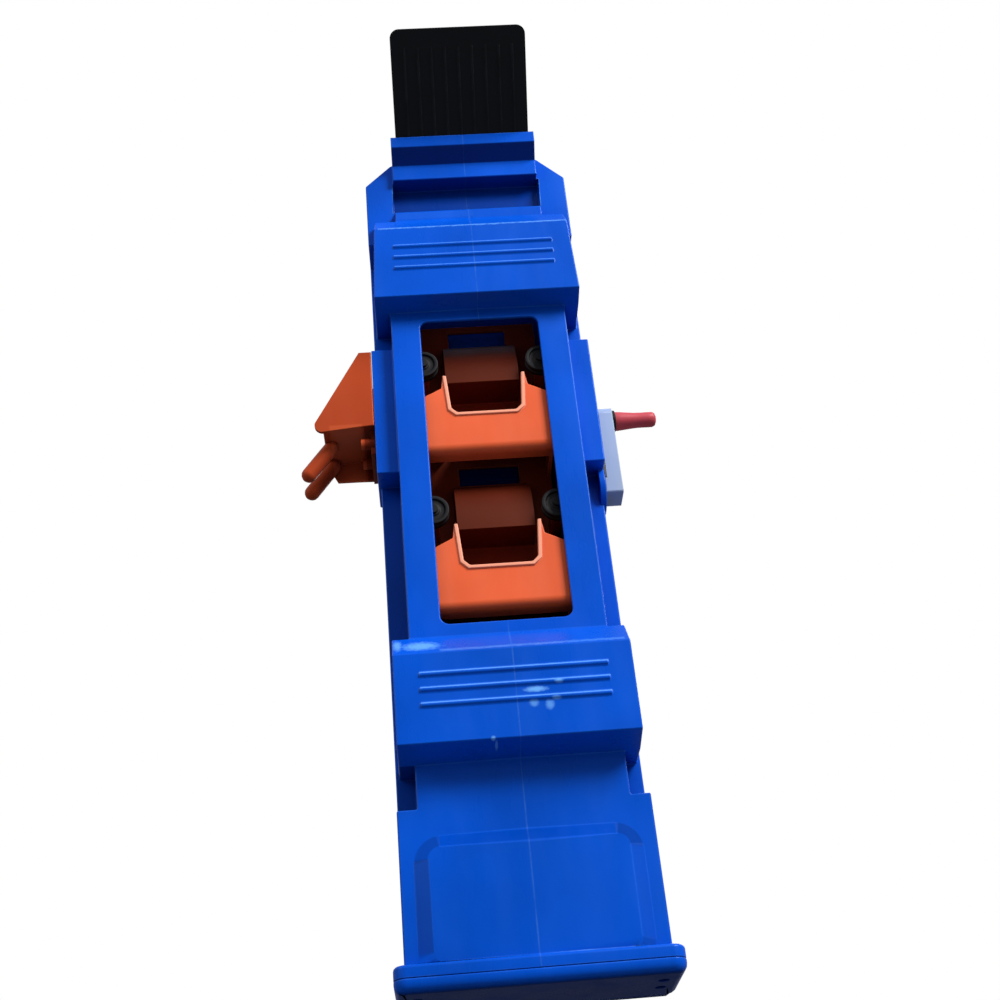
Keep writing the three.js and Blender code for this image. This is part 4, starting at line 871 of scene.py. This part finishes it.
# %% The rollers
ROLLER_RADIUS = 11
ROLLER_FRONT, ROLLER_BACK = -14, -6
ROLLER_ACROSS = {"left": -42.7, "right": 42.7}
ROLLER_HEIGHTS = {"lower": 320, "upper": 443}
PIN_BORE = 2.05
TYRE_WALL, HUB_WIDTH, STEP_WIDTH = 2.6, 3.2, 0.4
HUB_DEPTH, BOSS_RISE = 1.1, 0.9
TREAD_CUTS = (-10.9, -10.4, -9.6, -9.1)
TREAD_MIDDLE, TREAD_HALF, TREAD_SHARE = -10, 0.5, 0.95
FACING = 0.9
HUB_REACH, TREAD_REACH = 0.5, 10
RIM_EDGE, RIM_SEGMENTS = 0.5, 3


def faces_that(piece, rule):
    """Selects the faces of a piece in edit mode whose middle and normal pass a rule."""
    bpy.ops.mesh.select_mode(type="FACE")
    bpy.ops.mesh.select_all(action="DESELECT")
    shape = bmesh.from_edit_mesh(piece.data)
    for face in shape.faces:
        if rule(face.calc_center_median() / MM, face.normal):
            face.select_set(True)
    bmesh.update_edit_mesh(piece.data)


def added_cylinder(name, sides, radius, depth, place, turn):
    """A new cylinder with its place and turn in its mesh, so that it lies at the origin."""
    bpy.ops.object.select_all(action="DESELECT")
    bpy.ops.mesh.primitive_cylinder_add(
        vertices=sides, radius=radius * MM, depth=depth * MM, location=place, rotation=turn,
    )
    piece = bpy.context.active_object
    piece.name = name
    bpy.ops.object.transform_apply(location=True, rotation=True, scale=True)
    return piece


roller_middle = (0, (ROLLER_FRONT + ROLLER_BACK) / 2 * MM, 0)
roller_depth = ROLLER_BACK - ROLLER_FRONT
roller = added_cylinder(
    "roller_pattern", 64, ROLLER_RADIUS, roller_depth, roller_middle, (math.radians(90), 0, 0),
)
bpy.ops.object.mode_set(mode="EDIT")
boss_width = ROLLER_RADIUS - TYRE_WALL - STEP_WIDTH - HUB_WIDTH - STEP_WIDTH - PIN_BORE
for way in (-1, 1):
    faces_that(roller, lambda middle, normal: normal.y * way > FACING)
    bpy.ops.mesh.inset(thickness=TYRE_WALL * MM)
    bpy.ops.mesh.inset(thickness=STEP_WIDTH * MM)
    bpy.ops.transform.translate(value=(0, -way * HUB_DEPTH * MM, 0))
    bpy.ops.mesh.inset(thickness=HUB_WIDTH * MM)
    bpy.ops.mesh.inset(thickness=STEP_WIDTH * MM)
    bpy.ops.transform.translate(value=(0, way * BOSS_RISE * MM, 0))
    bpy.ops.mesh.inset(thickness=boss_width * MM)
faces_that(roller, lambda middle, normal: abs(normal.y) > FACING and middle.xz.length < HUB_REACH)
bpy.ops.mesh.bridge_edge_loops()
for place in TREAD_CUTS:
    faces_that(roller, lambda middle, normal: middle.xz.length > TREAD_REACH)
    bpy.ops.mesh.bisect(plane_co=(0, place * MM, 0), plane_no=(0, 1, 0))


def in_groove(middle, normal):
    """Whether a face lies in the tread groove."""
    return middle.xz.length > TREAD_REACH and abs(middle.y - TREAD_MIDDLE) < TREAD_HALF


faces_that(roller, in_groove)
bpy.ops.transform.resize(
    value=(TREAD_SHARE, 1, TREAD_SHARE), center_override=(0, TREAD_MIDDLE * MM, 0),
)
bpy.ops.mesh.select_all(action="SELECT")
bpy.ops.mesh.normals_make_consistent(inside=False)
bpy.ops.object.mode_set(mode="OBJECT")
soft_rim = roller.modifiers.new("soft_rim", "BEVEL")
soft_rim.width = RIM_EDGE * MM
soft_rim.segments = RIM_SEGMENTS
soft_rim.limit_method = "ANGLE"
soft_rim.angle_limit = math.radians(50)
bpy.ops.object.modifier_apply(modifier=soft_rim.name)
bpy.ops.object.shade_smooth_by_angle(angle=math.radians(35))
print("roller", [round(size / MM, 2) for size in roller.dimensions])

for deck, height in ROLLER_HEIGHTS.items():
    for side, across in ROLLER_ACROSS.items():
        wheel = bpy.data.objects.new(f"wheel_{deck}_{side}", roller.data.copy())
        bpy.context.scene.collection.objects.link(wheel)
        wheel.data.transform(Matrix.Translation(Vector((across, 0, height)) * MM))
        finished(wheel, f"roller_{deck}_{side}", rubber)
bpy.data.objects.remove(roller)


# %% [markdown]
# The grip is a soft red sleeve that spins on the crank's pin. It starts as a cylinder
# along X. Bisecting planes give it rings, which are scaled to the taper, a slight
# waist and a round nose. Its inner end is inset and sunk to take the pin.

# %% The grip
GRIP_ROOT, GRIP_TIP = 95.1, 125.1
GRIP_LINE = (16.6, 403.5)
GRIP_RADIUS, NOSE_SHARE = 6.9, 0.42
SOCKET_RADIUS, SOCKET_DEPTH = 2.35, 22.8
GRIP_RINGS = (
    (96.2, 7.0), (100, 6.6), (105, 6.3), (110, 6.2), (115, 6.3), (119, 6.4), (122.3, 6.1), (124.2, 5.1),
)
grip_middle = Vector(((GRIP_ROOT + GRIP_TIP) / 2, *GRIP_LINE)) * MM
grip_depth = GRIP_TIP - GRIP_ROOT


def ring_scaled(place, share):
    """Scales what is selected about the grip's axis."""
    centre = (place * MM, grip_middle.y, grip_middle.z)
    bpy.ops.transform.resize(value=(1, share, share), center_override=centre)


grip = added_cylinder(
    "grip_sleeve", 48, GRIP_RADIUS, grip_depth, grip_middle, (0, math.radians(90), 0),
)
bpy.ops.object.mode_set(mode="EDIT")
bpy.ops.mesh.select_mode(type="VERT")
for place, radius in GRIP_RINGS:
    bpy.ops.mesh.select_all(action="SELECT")
    bpy.ops.mesh.bisect(plane_co=(place * MM, 0, 0), plane_no=(1, 0, 0))
    ring_scaled(place, radius / GRIP_RADIUS)
faces_that(grip, lambda middle, normal: normal.x > FACING and middle.x > GRIP_TIP - NEAR)
ring_scaled(GRIP_TIP, NOSE_SHARE)
faces_that(grip, lambda middle, normal: normal.x < -FACING and middle.x < GRIP_ROOT + NEAR)
bpy.ops.mesh.inset(thickness=(GRIP_RADIUS - SOCKET_RADIUS) * MM)
bpy.ops.mesh.extrude_region_move(TRANSFORM_OT_translate={"value": (SOCKET_DEPTH * MM, 0, 0)})
bpy.ops.mesh.select_all(action="SELECT")
bpy.ops.mesh.normals_make_consistent(inside=False)
bpy.ops.object.mode_set(mode="OBJECT")
bpy.ops.object.shade_smooth_by_angle(angle=math.radians(50))
finished(grip, "crank_grip", red)


# %% [markdown]
# What is left are the small parts: screws, pins, bushes, rails, rack and pinion. They
# keep their construction shape, because the machine that makes them gives exactly
# that, and only the sharp rims are broken, so that each one catches a line of light.

# %% The small parts
SMALL_SLOTS = ("steel", "grey_nylon")
SMALL_SEGMENTS = 2
small = [
    name for name, slot in node_slots.items() if slot in SMALL_SLOTS or name.endswith("guide_rail")
]
for name in small:
    part = copied(name, name + "_soft")
    weigh_edges(part, wide(0.3, 0.8))
    bevelled(part, SMALL_SEGMENTS)
    finished(part, name, finish_of(name))
print("small parts", len(small))


# %% [markdown]
# The floor is a pale sheet under the tower. The photograph is taken from below the
# floor's height, so the sheet is clear when it is seen from underneath, and it has a
# window exactly under the foot, which lets a little light reach the underside. To
# every ray but the camera's it is greyer, so that it throws little light upwards.

# %% The floor
FLOOR_SIZE = 8
FLOOR_DROP = 0.4
FLOOR_ROUGHNESS = 0.7
FLOOR_DIM, FLOOR_PALE = (0.12, 0.12, 0.12), (0.82, 0.82, 0.81)
CLEAR_MIDDLE = 6.5
CLEAR_HALF_WIDTH, CLEAR_HALF_DEPTH = 82, 29
bpy.ops.object.select_all(action="DESELECT")
bpy.ops.mesh.primitive_plane_add(size=FLOOR_SIZE, location=(0, 0, -FLOOR_DROP * MM))
floor = bpy.context.active_object
floor.name = "studio_floor"
paint = bpy.data.materials.new("pale_floor")
paint.use_nodes = True
tree = paint.node_tree
shader = tree.nodes["Principled BSDF"]
shader.inputs["Roughness"].default_value = FLOOR_ROUGHNESS
path = tree.nodes.new("ShaderNodeLightPath")
tone = mixed(tree, FLOOR_DIM, FLOOR_PALE)
join(tree, path.outputs["Is Camera Ray"], tone.inputs["Factor"])
join(tree, tone.outputs["Result"], shader.inputs["Base Color"])

place = tree.nodes.new("ShaderNodeTexCoord")
axes = tree.nodes.new("ShaderNodeSeparateXYZ")
join(tree, place.outputs["Object"], axes.inputs[0])
sideways = math_node(tree, "ABSOLUTE", axes.outputs["X"], 0)
across = math_node(tree, "LESS_THAN", sideways, CLEAR_HALF_WIDTH * MM)
past_middle = math_node(tree, "SUBTRACT", axes.outputs["Y"], CLEAR_MIDDLE * MM)
lengthways = math_node(tree, "ABSOLUTE", past_middle, 0)
along = math_node(tree, "LESS_THAN", lengthways, CLEAR_HALF_DEPTH * MM)
under_foot = math_node(tree, "MULTIPLY", across, along)
seen = tree.nodes.new("ShaderNodeNewGeometry")
clear = tree.nodes.new("ShaderNodeBsdfTransparent")
either = tree.nodes.new("ShaderNodeMixShader")
join(tree, math_node(tree, "MAXIMUM", seen.outputs["Backfacing"], under_foot), either.inputs["Fac"])
join(tree, shader.outputs[0], either.inputs[1])
join(tree, clear.outputs[0], either.inputs[2])
join(tree, either.outputs[0], tree.nodes["Material Output"].inputs["Surface"])
floor.data.materials.append(paint)
print("floor", floor.name)
